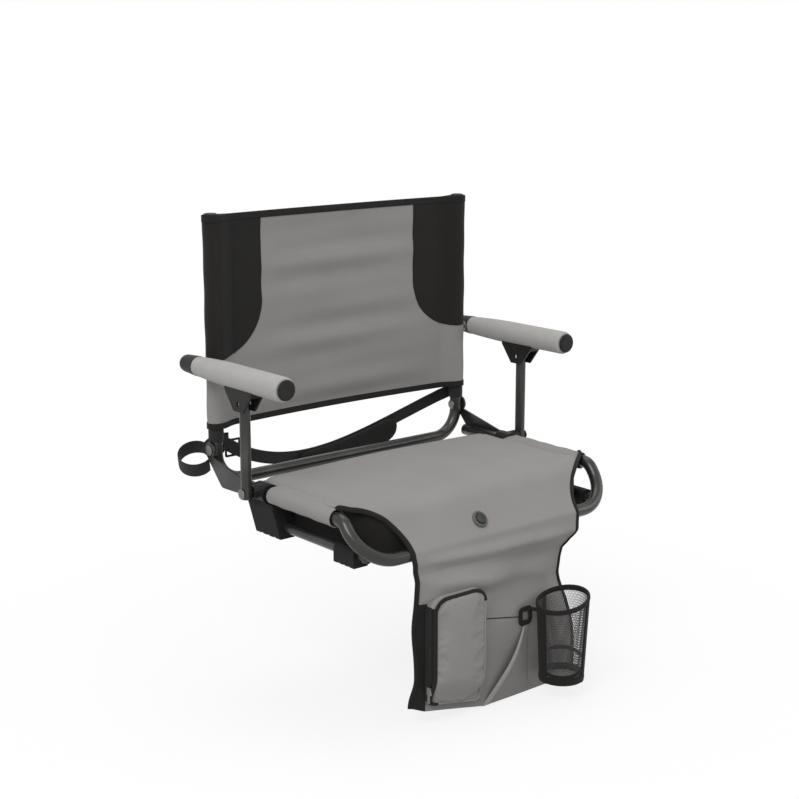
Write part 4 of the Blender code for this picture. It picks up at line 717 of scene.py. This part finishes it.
def rounded(stations, steps=6):
    """Stations with each inner corner drawn as a small quadratic curve between the middles of its sides."""
    line = np.array(stations, float)
    middles = (line[:-1] + line[1:]) / 2
    share = np.linspace(0.0, 1.0, steps)[:-1, None]
    curves = [
        (1 - share) ** 2 * a + 2 * share * (1 - share) * corner + share**2 * b
        for a, corner, b in zip(middles[:-1], line[1:-1], middles[1:])
    ]
    return np.concatenate([line[:1], *curves, middles[-1:], line[-1:]])


grey_plastic = moulded_plastic("grey_plastic", 0.085, 0.50)
dark_plastic = moulded_plastic("dark_plastic", 0.034, 0.36)
collar_line = [(0.0004, 0.0129), (0.0022, 0.0128), (0.0040, 0.0112)]
collar_line += [(0.0040, 0.0090), (0.0022, 0.0084), (0.0004, 0.0084)]
collar_line = np.vstack([rounded(collar_line), [(0.0004, 0.0106)]])
collar_dress = ("seat", grey_plastic, "button_bezel")
turned_piece("button_collar", collar_line, button_place, button_up, *collar_dress, closed=True)
cap_line = [(0.0023, 0.0001), (0.0023, 0.0079), (0.0056, 0.0079)]
cap_line += [(0.0058, 0.0055), (0.0049, 0.0030), (0.0047, 0.0001)]
cap_dress = ("heat_button", dark_plastic, "heat_button")
turned_piece("button_cap", rounded(cap_line), button_place, button_up, *cap_dress)


# Zip pocket
# A boxy pouch on the flap: a gusset, black with a grey top, with the zip in it, a grey front panel that
# bulges a little, and black piping in the seam up the left and over the top. It would hold a battery.

flap_front_y = -0.1651
pocket_width = 0.095
pocket_top_z = -0.051
pocket_foot_z = hem_low_z + 0.013
pocket_height = pocket_top_z - pocket_foot_z
pocket_depth = 0.022
pocket_bulge = 0.0060
grey_top_z = pocket_top_z - 0.012
low_corner = 0.008
top_corner = 0.022
seam_inset = 0.0012
outline_count = 200
swell_limit = 0.003
gusset_line = ((0.0003, -0.0010, 0.0), (0.0012, 0.006, 0.5), (0.0016, 0.012, 1.0), (0.0008, 0.018, 0.4))
gusset_line += ((-0.0016, 0.0206, 0.0),)


def slanted_foot(x, z):
    """Heights of a level pocket drawn down to the flap's slanting hem, each by its share of the height."""
    return z + (hem_z(x) - hem_low_z) * (pocket_top_z - z) / pocket_height


def pocket_outline(grow):
    """The pocket's outline as (x, z), grown by a margin: a rectangle with round corners and a slanting foot,
    which starts low on the left side and runs along the foot, up the right side and back over the top."""
    low = np.array((pocket_left_x - grow, pocket_foot_z - grow))
    high = np.array((pocket_left_x + pocket_width + grow, pocket_top_z + grow))
    corners = [low, (high[0], low[1]), high, (low[0], high[1])]
    ways = [(1, 1), (-1, 1), (-1, -1), (1, -1)]
    arcs = []
    for quarter, (corner, way) in enumerate(zip(corners, ways)):
        turn = math.pi * (1.0 + quarter / 2 + np.linspace(0.0, 0.5, 12))
        round_off = grow + (low_corner if quarter < 2 else top_corner)
        middle = np.array(corner) + round_off * np.array(way)
        arcs.append(middle + round_off * grid_of(np.cos(turn), np.sin(turn)))
    x, z = resampled(np.concatenate(arcs + [arcs[0][:1]]), outline_count + 1)[:-1].T
    return grid_of(x, slanted_foot(x, z))


def top_right(line):
    """Which point of an outline is at its top right corner."""
    return int(np.argmax(line[:, 0] + 0.8 * line[:, 1]))


def stood_off(x, z, depth):
    """Points of the pocket stood off the flap by a depth, which shrinks towards the flattened foot."""
    down = (pocket_top_z - z) / (pocket_height - hem_z(x) + hem_low_z)
    return grid_of(x, flap_front_y - depth * (1.0 - 0.55 * smooth(down, 0.72, 1.0)), z)


def inflated(piece, pressure, sewn=()):
    """Lets a cloth swell under a pressure for 20 frames without gravity, with its sewn points held, and keeps
    each point within the swell's limit of where it began."""
    mesh = piece.data
    before = np.empty(len(mesh.vertices) * 3, np.float32)
    mesh.vertices.foreach_get("co", before)
    cloth = piece.modifiers.new("cloth", "CLOTH")
    if len(sewn):
        piece.vertex_groups.new(name="sewn").add(sewn, 1.0, "REPLACE")
        cloth.settings.vertex_group_mass = "sewn"
    cloth.settings.use_pressure = True
    cloth.settings.uniform_pressure_force = pressure
    cloth.settings.shrink_min = -0.05
    cloth.settings.effector_weights.gravity = 0.0
    for step in range(1, 21):
        scene.frame_set(step)
    swollen = np.empty_like(before)
    piece.evaluated_get(bpy.context.evaluated_depsgraph_get()).data.vertices.foreach_get("co", swollen)
    piece.modifiers.remove(cloth)
    move = (swollen - before).reshape(-1, 3)
    move *= np.minimum(1.0, swell_limit / np.maximum(np.linalg.norm(move, axis=1), 1e-9))[:, None]
    mesh.vertices.foreach_set("co", before + move.ravel())
    mesh.update()
    scene.frame_set(1)


ripple = 0.0008 * np.sin(9 * circle(outline_count))
rings = [stood_off(*pocket_outline(grow).T, depth + wave * ripple) for grow, depth, wave in gusset_line]
gusset = thickened(surface("pocket_gusset", np.array(rings), around=True), 0.0012, 1.0)
grey_top = (grey_top_z, *canvas_tones)
gusset_cloth = woven("gusset_cloth", "black_cloth", *black_tones, sheen=0.04, above=grey_top)
dressed(gusset, "flap", gusset_cloth, "zip_pocket")
arc = np.linspace(0.0, math.pi / 2, 9)
straight = np.linspace(top_corner, pocket_height - low_corner, 44)[1:-1]
face_drop = [top_corner * (1 - np.cos(arc)), straight, pocket_height - low_corner * (1 - np.cos(arc[::-1]))]
face_drop = np.concatenate(face_drop)[:, None]
face_inset = [top_corner * (1 - np.sin(arc)), 0 * straight, low_corner * (1 - np.sin(arc[::-1]))]
face_inset = seam_inset + np.concatenate(face_inset)[:, None]
face_across = np.linspace(0.0, 1.0, 45)[None, :]
face_x = pocket_left_x + face_inset + (pocket_width - 2 * face_inset) * face_across
face_z = slanted_foot(face_x, pocket_top_z - seam_inset - face_drop * (1 - 2 * seam_inset / pocket_height))
full_across, full_down = (1 - np.abs(2 * at - 1) ** 2.6 for at in (face_across, face_drop / pocket_height))
face_depth = pocket_depth + pocket_bulge * full_across * full_down
face_depth += 0.0008 * np.sin(37.0 * face_z + 30.0 * face_x) * full_across
pocket_face = surface("pocket_face", stood_off(face_x, face_z, face_depth))
index = np.arange(face_x.size).reshape(face_x.shape)
sewn_edge = np.unique(np.concatenate([index[0], index[-1], index[:, 0], index[:, -1]])).tolist()
inflated(pocket_face, 2.0, sewn_edge)
dressed(thickened(pocket_face, 0.0013), "flap", grey_canvas)
piping_line = pocket_outline(-0.0004)
corner = top_right(piping_line)
piping_line = np.concatenate([piping_line[corner - 5 :], piping_line[:8]])
piping_path = stood_off(*piping_line.T, pocket_depth - 0.0002)
piping = rod("pocket_piping", piping_path, disc(0.0028, count=12), rearward, "flap", black_cloth)
seam_line = pocket_outline(-0.0006)[6 : corner - 3]
seam_path = stood_off(*seam_line.T, pocket_depth - 0.0004)
pocket_seam = rod("pocket_seam", seam_path, disc(0.0017, count=10), rearward, "flap", grey_canvas)


# Zip
# A black coil zip on woven tape is let into the gusset, up its left side and over the top; a metal slider
# with a pull runs on it.

zip_depth = 0.0123
coil_pitch = 0.0016
coil_width = 0.0052
coil_thick = 0.00055
run = pocket_outline(0.0003)
zip_foot = (pocket_left_x, hem_z(pocket_left_x) + 0.028)
zip_line = run[top_right(run) : int(np.argmin(np.linalg.norm(run - zip_foot, axis=1))) + 1]
outward = unit(grid_of(np.gradient(zip_line[:, 1]), -np.gradient(zip_line[:, 0])))
tape_section = ((0.0003, 0.0052), (0.0012, 0.0050), (0.0018, 0.0016))
tape_section += tuple((lift, -spread) for lift, spread in tape_section[::-1])
tape_grid = [stood_off(*(zip_line + outward * lift).T, zip_depth + spread) for lift, spread in tape_section]
zip_band = surface("zip_band", np.stack(tape_grid, axis=1), around=True, caps=True)
dressed(zip_band, "flap", gusset_cloth, "zip_tape")
coil_path = stood_off(*(zip_line + outward * 0.0020).T, zip_depth)[zip_line[:, 1] < grey_top_z]
places = resampled(coil_path, int(run_of(coil_path)[-1] / coil_pitch))
tangent = unit(np.gradient(places, axis=0))
axes = (rearward * coil_width, tangent * coil_thick, np.cross(rearward, tangent) * coil_thick)
coil = scattered("zip_coil", places, np.stack(np.broadcast_arrays(*axes), axis=1))
dressed(coil, "flap", dark_plastic)
refinished(zinc, "zip_slider")


# Slanted pocket
# A second pocket of the same canvas beside the first, sewn down at its right side and foot. Its open edge
# slants down to the left and has a turned hem; a loop of black tape is sewn on over its top corner.

slant_right_x = 0.058
slant_top_z = -0.138
slant_widths = (0.010, 0.090)
slant_bulge = 0.011
tab_middle = (0.051, flap_front_y - 0.0028, slant_top_z + 0.015)
tab_half = (0.0098, 0.0108)


def slant_points(down, across, lift=0.0):
    """The slanted pocket: its width grows straight down from top to foot, and it stands off the flap by a
    quarter sine across times half a sine down."""
    x = slant_right_x - (slant_widths[0] + (slant_widths[1] - slant_widths[0]) * down) * across
    z = slant_top_z + (hem_low_z - slant_top_z) * down
    bulge = slant_bulge * np.sin(math.pi / 2 * across) * np.sin(math.pi * down**0.8)
    ripple = 0.0008 * np.sin(60.0 * z + 40.0 * x) * np.sin(math.pi * across)
    return grid_of(x, flap_front_y - 0.0018 - bulge - ripple - lift, z)


def squared_off(wave, power):
    """A wave from -1 to 1 with its size raised to a power: a low one flattens its ends."""
    return np.sign(wave) * np.abs(wave) ** power


# The paler canvas is painted highlight: on the slanted pocket's turned hem it stands in for the light that
# the folded edge catches. The cup's base is made of it too.
pale_canvas = woven("pale_canvas", "grey_cloth", (0.34, 0.327, 0.318), (0.44, 0.424, 0.413))
down = np.linspace(0.0, 1.0, 60)[:, None]
slant_grid = slant_points(down, np.linspace(1.0, 0.0, 46)[None, :])
slant = sheet("slanted_pocket", slant_grid, cloth_thickness, "flap", grey_canvas, "middle_pocket")
# The hem's paler tone is painted highlight along its folded edge.
hem_grid = slant_points(down, np.linspace(1.01, 0.86, 8)[None, :], 0.0012)
slant_trim = [sheet("slanted_pocket_hem", hem_grid, 0.0032, "flap", pale_canvas)]
for name, across, lift in (("hem", 0.88, 0.0013), ("side", 0.05, 0.0002)):
    row = slant_points(np.linspace(0.02, 0.98, 120), across, lift)
    slant_trim.append(stitched(f"slant_{name}_stitch", row, "flap", grey_thread))
seam_x = np.linspace(-0.046, 0.042, 60)
seam_path = on_flap(seam_x, -0.1155 - 0.20 * seam_x, 0.0002)
rod("flap_seam", seam_path, disc(0.0008, 0.0004, 8), forward, "flap", black_thread)
turn = np.linspace(0.0, full_turn, 121)
tab_x = tab_half[0] * squared_off(np.cos(turn), 0.35)
tab_z = tab_half[1] * squared_off(np.sin(turn), 0.35)
tab_path = resampled(tab_middle + grid_of(tab_x, 0.0, tab_z), 121)
tab_grid = swept(tab_path, disc(0.0041, 0.0011, 14), rearward)[:-1]
tab = surface("pocket_tab_tape", tab_grid, around=True, along=True)
dressed(tab, "flap", black_cloth, "pocket_tab")


# Cup holder
# A round pouch of fine black net on a stiff taped rim that slopes down to the left, with a taped foot, two
# side tapes, a reinforcing tape round it and a canvas base. It is sewn to the flap along its back.

cup_rim_z = -0.100
cup_height = 0.120
cup_radius = 0.038
cup_taper = 0.006
cup_slant = 0.22
foot_z = cup_rim_z - cup_height
cup_place = np.array((0.090, -0.2064, 0.0))
base_radius = 0.0302
side_tapes = (("back", 90, 5), ("left", 166, 18), ("right", -56, 16))


def on_cup(turn, z, out=0.0):
    """Points at angles and heights on an upright cup's wall, which tapers to its foot, stood out a little."""
    radius = cup_radius - cup_taper * (cup_rim_z - z) / cup_height + out
    return cup_place + grid_of(radius * np.cos(turn), radius * np.sin(turn), z)


def rim_slant(points):
    """Points of an upright cup with its rim sloped down to the left, less and less towards its foot."""
    lean = cup_slant * (points[..., 0] - cup_place[0]) * (1.0 - (cup_rim_z - points[..., 2]) / cup_height)
    return points + up * lean[..., None]


def net_strands(way, count=96, rows=26, thick=0.00020):
    """One family of net strands on the cup: each is a helix of a sixth of a turn with a square section."""
    down = np.linspace(0.0, 1.0, rows)[None, :]
    turn = circle(count)[:, None] + way * math.pi / 3 * down
    out = grid_of(np.cos(turn), np.sin(turn), 0.0)
    round_it = np.cross(up, out)
    line = on_cup(turn, cup_rim_z - cup_height * down, 0.00025 * way - 0.0007)
    square = ((1, 1), (1, -1), (-1, -1), (-1, 1))
    section = [line + thick * (a * out + 1.25 * b * round_it) for a, b in square]
    return rim_slant(np.stack(section, axis=2))


def bundle(name, strands):
    """A mesh of many strands with capped ends, from points by strand, row and corner of the section."""
    index = np.arange(strands.size // 3).reshape(strands.shape[:3])
    after = np.roll(index, -1, axis=2)
    walls = grid_of(index[:, :-1], index[:, 1:], after[:, 1:], after[:, :-1]).reshape(-1, 4)
    ends = np.concatenate([index[:, 0], index[:, -1, ::-1]])
    return mesh_piece(name, strands.reshape(-1, 3), walls.tolist() + ends.tolist())


def cup_band(name, middle, tip, height, thick, *stands_for):
    """A band of folded tape round the cup: an oblong section carried round the wall. Its height swings by a
    tip about its middle, and it is highest at the back as seen from the front left."""
    turn = circle(96)
    line = on_cup(turn, middle + tip * np.cos(turn - math.radians(50)))
    out = grid_of(np.cos(turn), np.sin(turn), 0.0)
    section = disc(thick, 1.0, 16)
    tall = height / 2 * squared_off(section[:, 1:], 0.7)
    points = line[:, None] + section[:, :1] * out[:, None] + tall * up
    dressed(surface(name, rim_slant(points), around=True, along=True), "flap", black_cloth, *stands_for)


net_cord = woven("net_cord", "black_cloth", (0.070, 0.068, 0.067), (0.120, 0.117, 0.115), sheen=0.04)
net = bundle("cup_net", np.concatenate([net_strands(1), net_strands(-1)]))
dressed(net, "flap", net_cord, "cup_mesh")
cup_band("cup_rim_tape", cup_rim_z + 0.0030, 0.0, 0.0078, 0.0023, "cup_rim")
cup_band("cup_middle_tape", foot_z + 0.0245, 0.0105, 0.0064, 0.0011)
cup_band("cup_foot_tape", foot_z + 0.0058, 0.0, 0.0116, 0.0021)
base_line = [(foot_z + 0.0002, 0.0003), (foot_z + 0.0002, 0.0300)]
base_line += [(foot_z + 0.0022 + 0.0012 * (1 - s * s), base_radius * s) for s in np.linspace(1.0, 0.01, 16)]
turned_piece("cup_base_disc", base_line, cup_place, up, "flap", pale_canvas, "cup_base", count=64)
tape_z = np.linspace(cup_rim_z, foot_z, 40)[:, None]
for name, degrees, half_turn in side_tapes:
    turn = np.radians(degrees + half_turn * np.linspace(1.0, -1.0, 16))[None, :]
    sheet(f"cup_{name}_tape", rim_slant(on_cup(turn, tape_z, 0.0005)), 0.0012, "flap", black_cloth)
tie_path = np.linspace((0.0585, -0.1678, -0.1130), (0.0530, -0.2020, -0.1062), 14)
rod("cup_rim_tie", tie_path, disc(0.0008, 0.0030, 12), up, "flap", black_cloth)


# Backrest frame
# The second bent tube, of the same coated steel: two posts that the back cloth slips over, joined low down
# by a cross tube. Plastic caps close the tops of the posts.

hinge_y = 0.205
cross_z = 0.056
back_bend = 0.045
panel_top_z = 0.4607
back_half = [(post_x, hinge_y, panel_top_z), (post_x, hinge_y, cross_z)]
back_path = bent_path(back_half, [back_bend, back_bend])
rod("back_tube", back_path, disc(tube_radius), rearward, "back", coat, "back_frame")
refinished(black_plastic, "post_cap_left", "post_cap_right")


# Back cloth
# A sling of the grey canvas with black yokes at its upper corners. Both are doubled back round the posts as
# sleeves; the top and foot are bound in black. Tension draws soft waves across it.

panel_foot_z = 0.1407
yoke_inner_x = 0.155
yoke_corner_z = 0.327
yoke_foot_z = 0.245
yoke_gap = 0.0006
back_bow = 0.010
sleeve_seam_x = 0.205
sleeve_radius = 0.0115
cuff_radius = 0.0126
hem_half_width = 0.2447
hem_bands = (
    ("top", panel_top_z - 0.0095, panel_top_z + 0.0006),
    ("foot", panel_foot_z - 0.0006, panel_foot_z + 0.0085),
)


def back_sides(x, z, gap):
    """The front and rear faces of the sling as y: bowed back between the posts, rippled by tension, and
    parted round each post from the sleeve's seam outwards. A gap moves both faces out."""
    share = np.clip(np.abs(x) / 0.2311, 0.0, 1.0)
    span = full_turn * (z - panel_foot_z)
    waves = 0.0022 * np.sin(span / 0.066 + 2.2 * x + 0.8) + 0.0011 * np.sin(span / 0.041 - 5.0 * x)
    middle = hinge_y + back_bow * (1.0 - share**2) + waves * (1.0 - share**2) ** 2
    parted = 0.0113 * smooth(np.abs(x), sleeve_seam_x, 0.2405) + cloth_thickness / 2 + gap
    return middle - parted, middle + parted


def two_sided(name, x, z, gap, *dress):
    """A closed piece of the sling over a grid of x and z: its front and rear faces, joined at every edge."""
    front, rear = (grid_of(x, y, z) for y in back_sides(x, z, gap))
    middle = (front + rear) / 2
    fore, aft = (np.concatenate([middle[:1], face, middle[-1:]]) for face in (front, rear))
    sling = surface(name, np.concatenate([fore, aft[:, ::-1]], axis=1), around=True)
    sling.modifiers.new("closed_ends", "WELD").merge_threshold = 0.00002
    return dressed(sling, "back", *dress)


def grey_half(z):
    """Half the grey panel's width at a height: narrow between the yokes, widening along a quarter ellipse."""
    low = np.clip((yoke_corner_z - z) / (yoke_corner_z - yoke_foot_z), 0.0, 1.0)
    return yoke_inner_x + (post_x - yoke_inner_x) * (1.0 - np.sqrt(1.0 - low**2))


def front_row(name, x, z, gap, thread):
    """A row of stitches up the front face of the sling."""
    return stitched(name, grid_of(x, back_sides(x, z, gap)[0], z), "back", thread)


def round_post(sign, radius, turn, z):
    """Points at angles and heights round a post of the backrest."""
    return grid_of(sign * post_x + radius * np.cos(turn), hinge_y + radius * np.sin(turn), z)


sling_tones = ((0.240, 0.230, 0.223), (0.321, 0.309, 0.300))
sling_grey = woven("sling_grey", "grey_cloth", *sling_tones)
sleeve_cloth = woven("two_tone_sleeve", "black_cloth", *sling_tones, above=(yoke_foot_z, *black_tones))
curve_z = yoke_corner_z - (yoke_corner_z - yoke_foot_z) * np.sin(np.linspace(0.0, math.pi / 2, 40))
yoke_z = np.concatenate([np.linspace(panel_top_z, yoke_corner_z, 60), curve_z[1:]])[:, None]
panel_z = np.concatenate([yoke_z, np.linspace(yoke_foot_z, panel_foot_z, 50)[1:, None]])
panel_x = grey_half(panel_z) * np.linspace(-1.0, 1.0, 110)[None, :]
panel = two_sided("sling_panel", panel_x, panel_z, 0.0, sling_grey, "back_panel")
sleeve_z = np.linspace(panel_foot_z, panel_top_z, 120)[:, None]
turn = circle(44)[None, :]
slack = 0.0003 * np.sin(90.0 * sleeve_z + 2.0 * turn) + 0.0002 * np.sin(47.0 * sleeve_z)
for side, sign in sides:
    inner = grey_half(yoke_z) - 0.004
    yoke_x = np.sort(sign * (inner + (post_x - inner) * np.linspace(0.0, 1.0, 40)[None, :]), axis=1)
    yoke = two_sided(f"yoke_{side}", yoke_x, yoke_z, yoke_gap, black_cloth, f"side_panel_{side}")
    seam_z = yoke_z[:, 0]
    seam_x = sign * (grey_half(seam_z) - 0.0015)
    yoke_trim = [front_row(f"yoke_stitch_{side}", seam_x, seam_z, yoke_gap, black_thread)]
    seam_x = sign * sleeve_seam_x
    seam_z = np.linspace(yoke_foot_z + 0.006, panel_top_z - 0.012, 90)
    yoke_trim.append(front_row(f"yoke_sleeve_stitch_{side}", seam_x, seam_z, yoke_gap, black_thread))
    seam_z = np.linspace(panel_foot_z + 0.012, yoke_foot_z, 90)
    front_row(f"sleeve_stitch_{side}", seam_x, seam_z, 0.0, grey_thread)
    sleeve_grid = round_post(sign, sleeve_radius + slack, turn, sleeve_z)
    dress = ("back", sleeve_cloth, f"back_sleeve_{side}")
    sleeve = sheet(f"post_sleeve_{side}", sleeve_grid, 0.0012, *dress, around=True)
    for name, low, high in hem_bands:
        cuff_grid = round_post(sign, cuff_radius, turn, np.linspace(low, high, 8)[:, None])
        cuff = sheet(f"{name}_cuff_{side}", cuff_grid, 0.0012, "back", black_cloth, around=True)
hem_x = np.linspace(-hem_half_width, hem_half_width, 140)[None, :]
for name, low, high in hem_bands:
    back_hem = two_sided(f"{name}_hem", hem_x, np.linspace(high, low, 8)[:, None], 0.0011, black_cloth)


# Carrying strap
# Black webbing looped round both posts hangs slack behind the back, with a padded shoulder piece and a spare
# end that leaves its slide buckle and curls into a loop at the left.

strap_z = 0.1301
strap_thickness = 0.002
strap_width = 0.020
strap_sag = 0.070
strap_bow = 0.028
strap_low_x = -0.050
loop_radius = 0.0098 + strap_thickness / 2
tail_width = 0.026
tail_facing = math.radians(40)
tail_lean = math.radians(30)
tail_radius = 0.026
tail_offset = (-0.012, 0.017, -0.044)
pad_middle_x = 0.035
pad_half_length = 0.100
pad_half_depth = 0.0050
pad_half_height = 0.020
buckle_x = -0.196
buckle_half = 0.0125


def strap_loop(sign):
    """An arc of webbing round a post, from its inner side round the front to its back."""
    arc = round_post(1, loop_radius, np.radians(np.linspace(140, 443, 60)), strap_z)
    return arc if sign > 0 else (arc * (-1, 1, 1))[::-1]


def strap_slack(x):
    """The slack run: it sags and bows back by one less the square of its share of the width, more at left."""
    end_x, end_y = strap_loop(1)[-1, :2]
    share = x / end_x
    sag = strap_sag * (1 - share**2) * (1 + 2 * share * strap_low_x / post_x)
    return grid_of(x, end_y + strap_thickness + strap_bow * (1 - share**2), strap_z - sag)


def webbing(name, route, upright, width, stands_for):
    """A flat band of webbing along a route, with its width along the upright."""
    flat = disc(strap_thickness / 2, 1.0, 20)
    flat[:, 1] = width / 2 * squared_off(flat[:, 1], 0.35)
    rod(name, route, flat, upright, "back", web, stands_for)


def flowing(points, count):
    """A Catmull-Rom curve through points."""
    ends = np.concatenate([2 * points[:1] - points[1:2], points, 2 * points[-1:] - points[-2:-1]])
    at = np.linspace(0.0, len(points) - 1.000001, count)
    knot = at.astype(int)
    s = (at - knot)[:, None]
    a, b, c, d = (ends[knot + i] for i in range(4))
    return 0.5 * (2 * b + (c - a) * s + (2 * a - 5 * b + 4 * c - d) * s**2 + (3 * b - a - 3 * c + d) * s**3)


# The webbing's ribs run aslant along the band, from the UV map in metres.
web = Finish("black_webbing", "black_webbing", Specular_IOR_Level=0.25, Sheen_Weight=0.04)
slants = [web.place("UV", axis) * (full_turn / pitch) for axis, pitch in (("Y", 0.0022), ("X", 0.0030))]
rib = web.maths("SINE", slants[0] + slants[1])
fibre = web.cloudy(900.0)
web.feed(
    Base_Color=(0.25 * rib + 0.5 * fibre + 0.25).mix((0.009, 0.0087, 0.0085), (0.023, 0.0222, 0.0216)),
    Roughness=0.62 + 0.2 * fibre,
    Normal=rib.bump(0.4, 0.0004),
)
slack_x = np.linspace(0.9, -0.9, 90) * strap_loop(1)[-1, 0]
strap_route = resampled(np.concatenate([strap_loop(1), strap_slack(slack_x), strap_loop(-1)]), 260)
webbing("strap_web", strap_route, up, strap_width, "carry_strap")
sideways = np.array((math.cos(tail_facing), -math.sin(tail_facing), 0.0))
lean = math.sin(tail_lean) * np.cross(sideways, up) + math.cos(tail_lean) * up
turn = np.radians(np.linspace(50.0, 330.0, 15))[:, None]
tail_y = strap_slack(0.037 - post_x)[1] + strap_thickness + 0.0006
tail_start = np.array((-post_x, tail_y, strap_z))
tail_loop = tail_radius * (np.cos(turn) * sideways + np.sin(turn) * np.cross(lean, sideways))
tail_loop += tail_start + tail_offset
tail_run = tail_start + np.array([(0.037, 0.0, -0.020), (0.0185, 0.002, -0.020)])
tail_route = flowing(np.concatenate([tail_run, tail_loop]), 120)
tail_rise = flowing(np.concatenate([[up, up], np.broadcast_to(lean, tail_loop.shape)]), 120)
webbing("strap_spare_end", tail_route, tail_rise, tail_width, "strap_tail")
pad_share = np.linspace(1.0, -1.0, 80)[:, None]
pad_route = strap_slack(pad_middle_x + pad_half_length * pad_share) - (0.0, 0.0058, 0.012)
turn = circle(40)[None, :]
pad_deep = pad_half_depth * np.sqrt(1.0 - pad_share**6) * np.cos(turn)
pad_tall = pad_half_height * np.sqrt(1.0 - pad_share**10) * squared_off(np.sin(turn), 0.6)
pad_grid = pad_route + grid_of(0.0, -pad_deep, pad_tall)
shoulder_pad = surface("shoulder_pad", pad_grid, around=True, caps=True)
inflated(shoulder_pad, 4.0)
dressed(shoulder_pad, "back", black_cloth, "strap_pad")
buckle_middle = strap_slack(buckle_x) + (0.0, 0.0036, 0.0)
buckle_bars = [((-buckle_half, 0.0, z), (buckle_half, 0.0, z)) for z in (-buckle_half, buckle_half)]
buckle_bars += [((x, 0.0, -buckle_half), (x, 0.0, buckle_half)) for x in (-buckle_half, 0.0, buckle_half)]
for number, ends in enumerate(buckle_bars):
    bar_path = buckle_middle + np.linspace(*ends, 12)
    rod(f"slide_buckle_{number}", bar_path, disc(0.0019, 0.0016, 14), rearward, "back", black_plastic)


# Armrests
# Each arm is a steel bar inside a tapering pad of grey foam, with a black cap in front and a black end piece
# behind, through which a pin joins it to the backrest post. A bracket under the pad takes the folding post.

arm_x = 0.2745
arm_z = 0.2405
arm_rear_y = 0.234
arm_front_y = -0.025
cap_thickness = 0.005
end_piece_y = 0.197
post_pivot_y = 0.080
post_ends_z = (0.0625, 0.2130)
post_radius = 0.008
grip_bore = 0.0074
pad_rear = cap_thickness - arm_rear_y
pad_front = -cap_thickness - arm_front_y


def grip_size(far):
    """The pad's radius at a distance forward: it grows from the rear by a quarter of a sine wave."""
    return 0.0125 + 0.0055 * np.sin(np.clip((far - pad_rear) / 0.130, 0.0, 1.0) * math.pi / 2)


# The foam is pale grey with closed cells: a soft mottle, fine pores and a faint sheen.
foam = Finish("foam_grip", "arm_foam", Sheen_Weight=0.10, Specular_IOR_Level=0.3)
pores = foam.cloudy(1700.0, 2.0)
mottle = 0.6 * foam.cloudy(55.0, 4.0) + 0.3 * pores
foam.feed(
    Base_Color=mottle.mix((0.330, 0.322, 0.312), (0.455, 0.445, 0.430)),
    Roughness=0.74 + 0.14 * pores,
    Normal=pores.bump(0.35, 0.0004),
)
end_run = np.linspace(0.0003, 0.006, 10)
long_run = np.linspace(pad_rear + 0.007, pad_front - 0.007, 60)
grip_far = np.concatenate([pad_rear + end_run, long_run, pad_front - end_run[::-1]])
end_gap = np.clip(np.minimum(grip_far - pad_rear, pad_front - grip_far) / 0.005, 0.0, 1.0)
grip_line = grid_of(grip_far, grip_size(grip_far) - 0.0026 * (1.0 - end_gap) ** 2)
grip_line = np.vstack([[(grip_far[0], grip_bore)], grip_line, [(grip_far[-1], grip_bore)]])
front_line = [(pad_front - 0.012, 0.0001), (pad_front - 0.012, 0.0050), (pad_front + 0.0002, 0.0052)]
front_line += [(pad_front + 0.0002, 0.0150), (-arm_front_y - 0.0002, 0.0150)]
front_line += [(-arm_front_y, 0.0070), (-arm_front_y - 0.0004, 0.0001)]
skirt = np.linspace(pad_rear, -end_piece_y, 10)
rear_line = [(0.0004 - arm_rear_y, 0.0001), (-arm_rear_y, 0.0060), (0.0002 - arm_rear_y, 0.0116)]
rear_line += [(far, grip_size(far) + 0.0007) for far in skirt]
rear_line += [(far, grip_size(far) + 0.0001) for far in skirt[::-1]]
rear_line += [(pad_rear - 0.0002, 0.0120), (pad_rear - 0.0002, 0.0052)]
rear_line += [(pad_rear + 0.012, 0.0050), (pad_rear + 0.012, 0.0001)]
for side, sign in sides:
    arm_place = np.array((sign * arm_x, 0.0, arm_z))
    dress = (f"arm_{side}", foam, f"arm_pad_{side}")
    grip = turned_piece(f"foam_grip_{side}", grip_line, arm_place, forward, *dress, count=56, closed=True)
    for end, line in (("front", front_line), ("rear", rear_line)):
        dress = (f"arm_{side}", black_plastic, f"arm_{end}_cap_{side}")
        turned_piece(f"{end}_cap_{side}", rounded(line), arm_place, forward, *dress)
    refinished(black_plastic, f"arm_bracket_{side}")
    refinished(zinc, f"arm_pin_{side}")
    refinished(coat, f"arm_bar_{side}")
    link_path = np.linspace(*((sign * arm_x, post_pivot_y, z) for z in post_ends_z), 40)
    dress = (f"post_{side}", coat, f"arm_post_{side}")
    rod(f"link_tube_{side}", link_path, disc(post_radius), rearward, *dress)
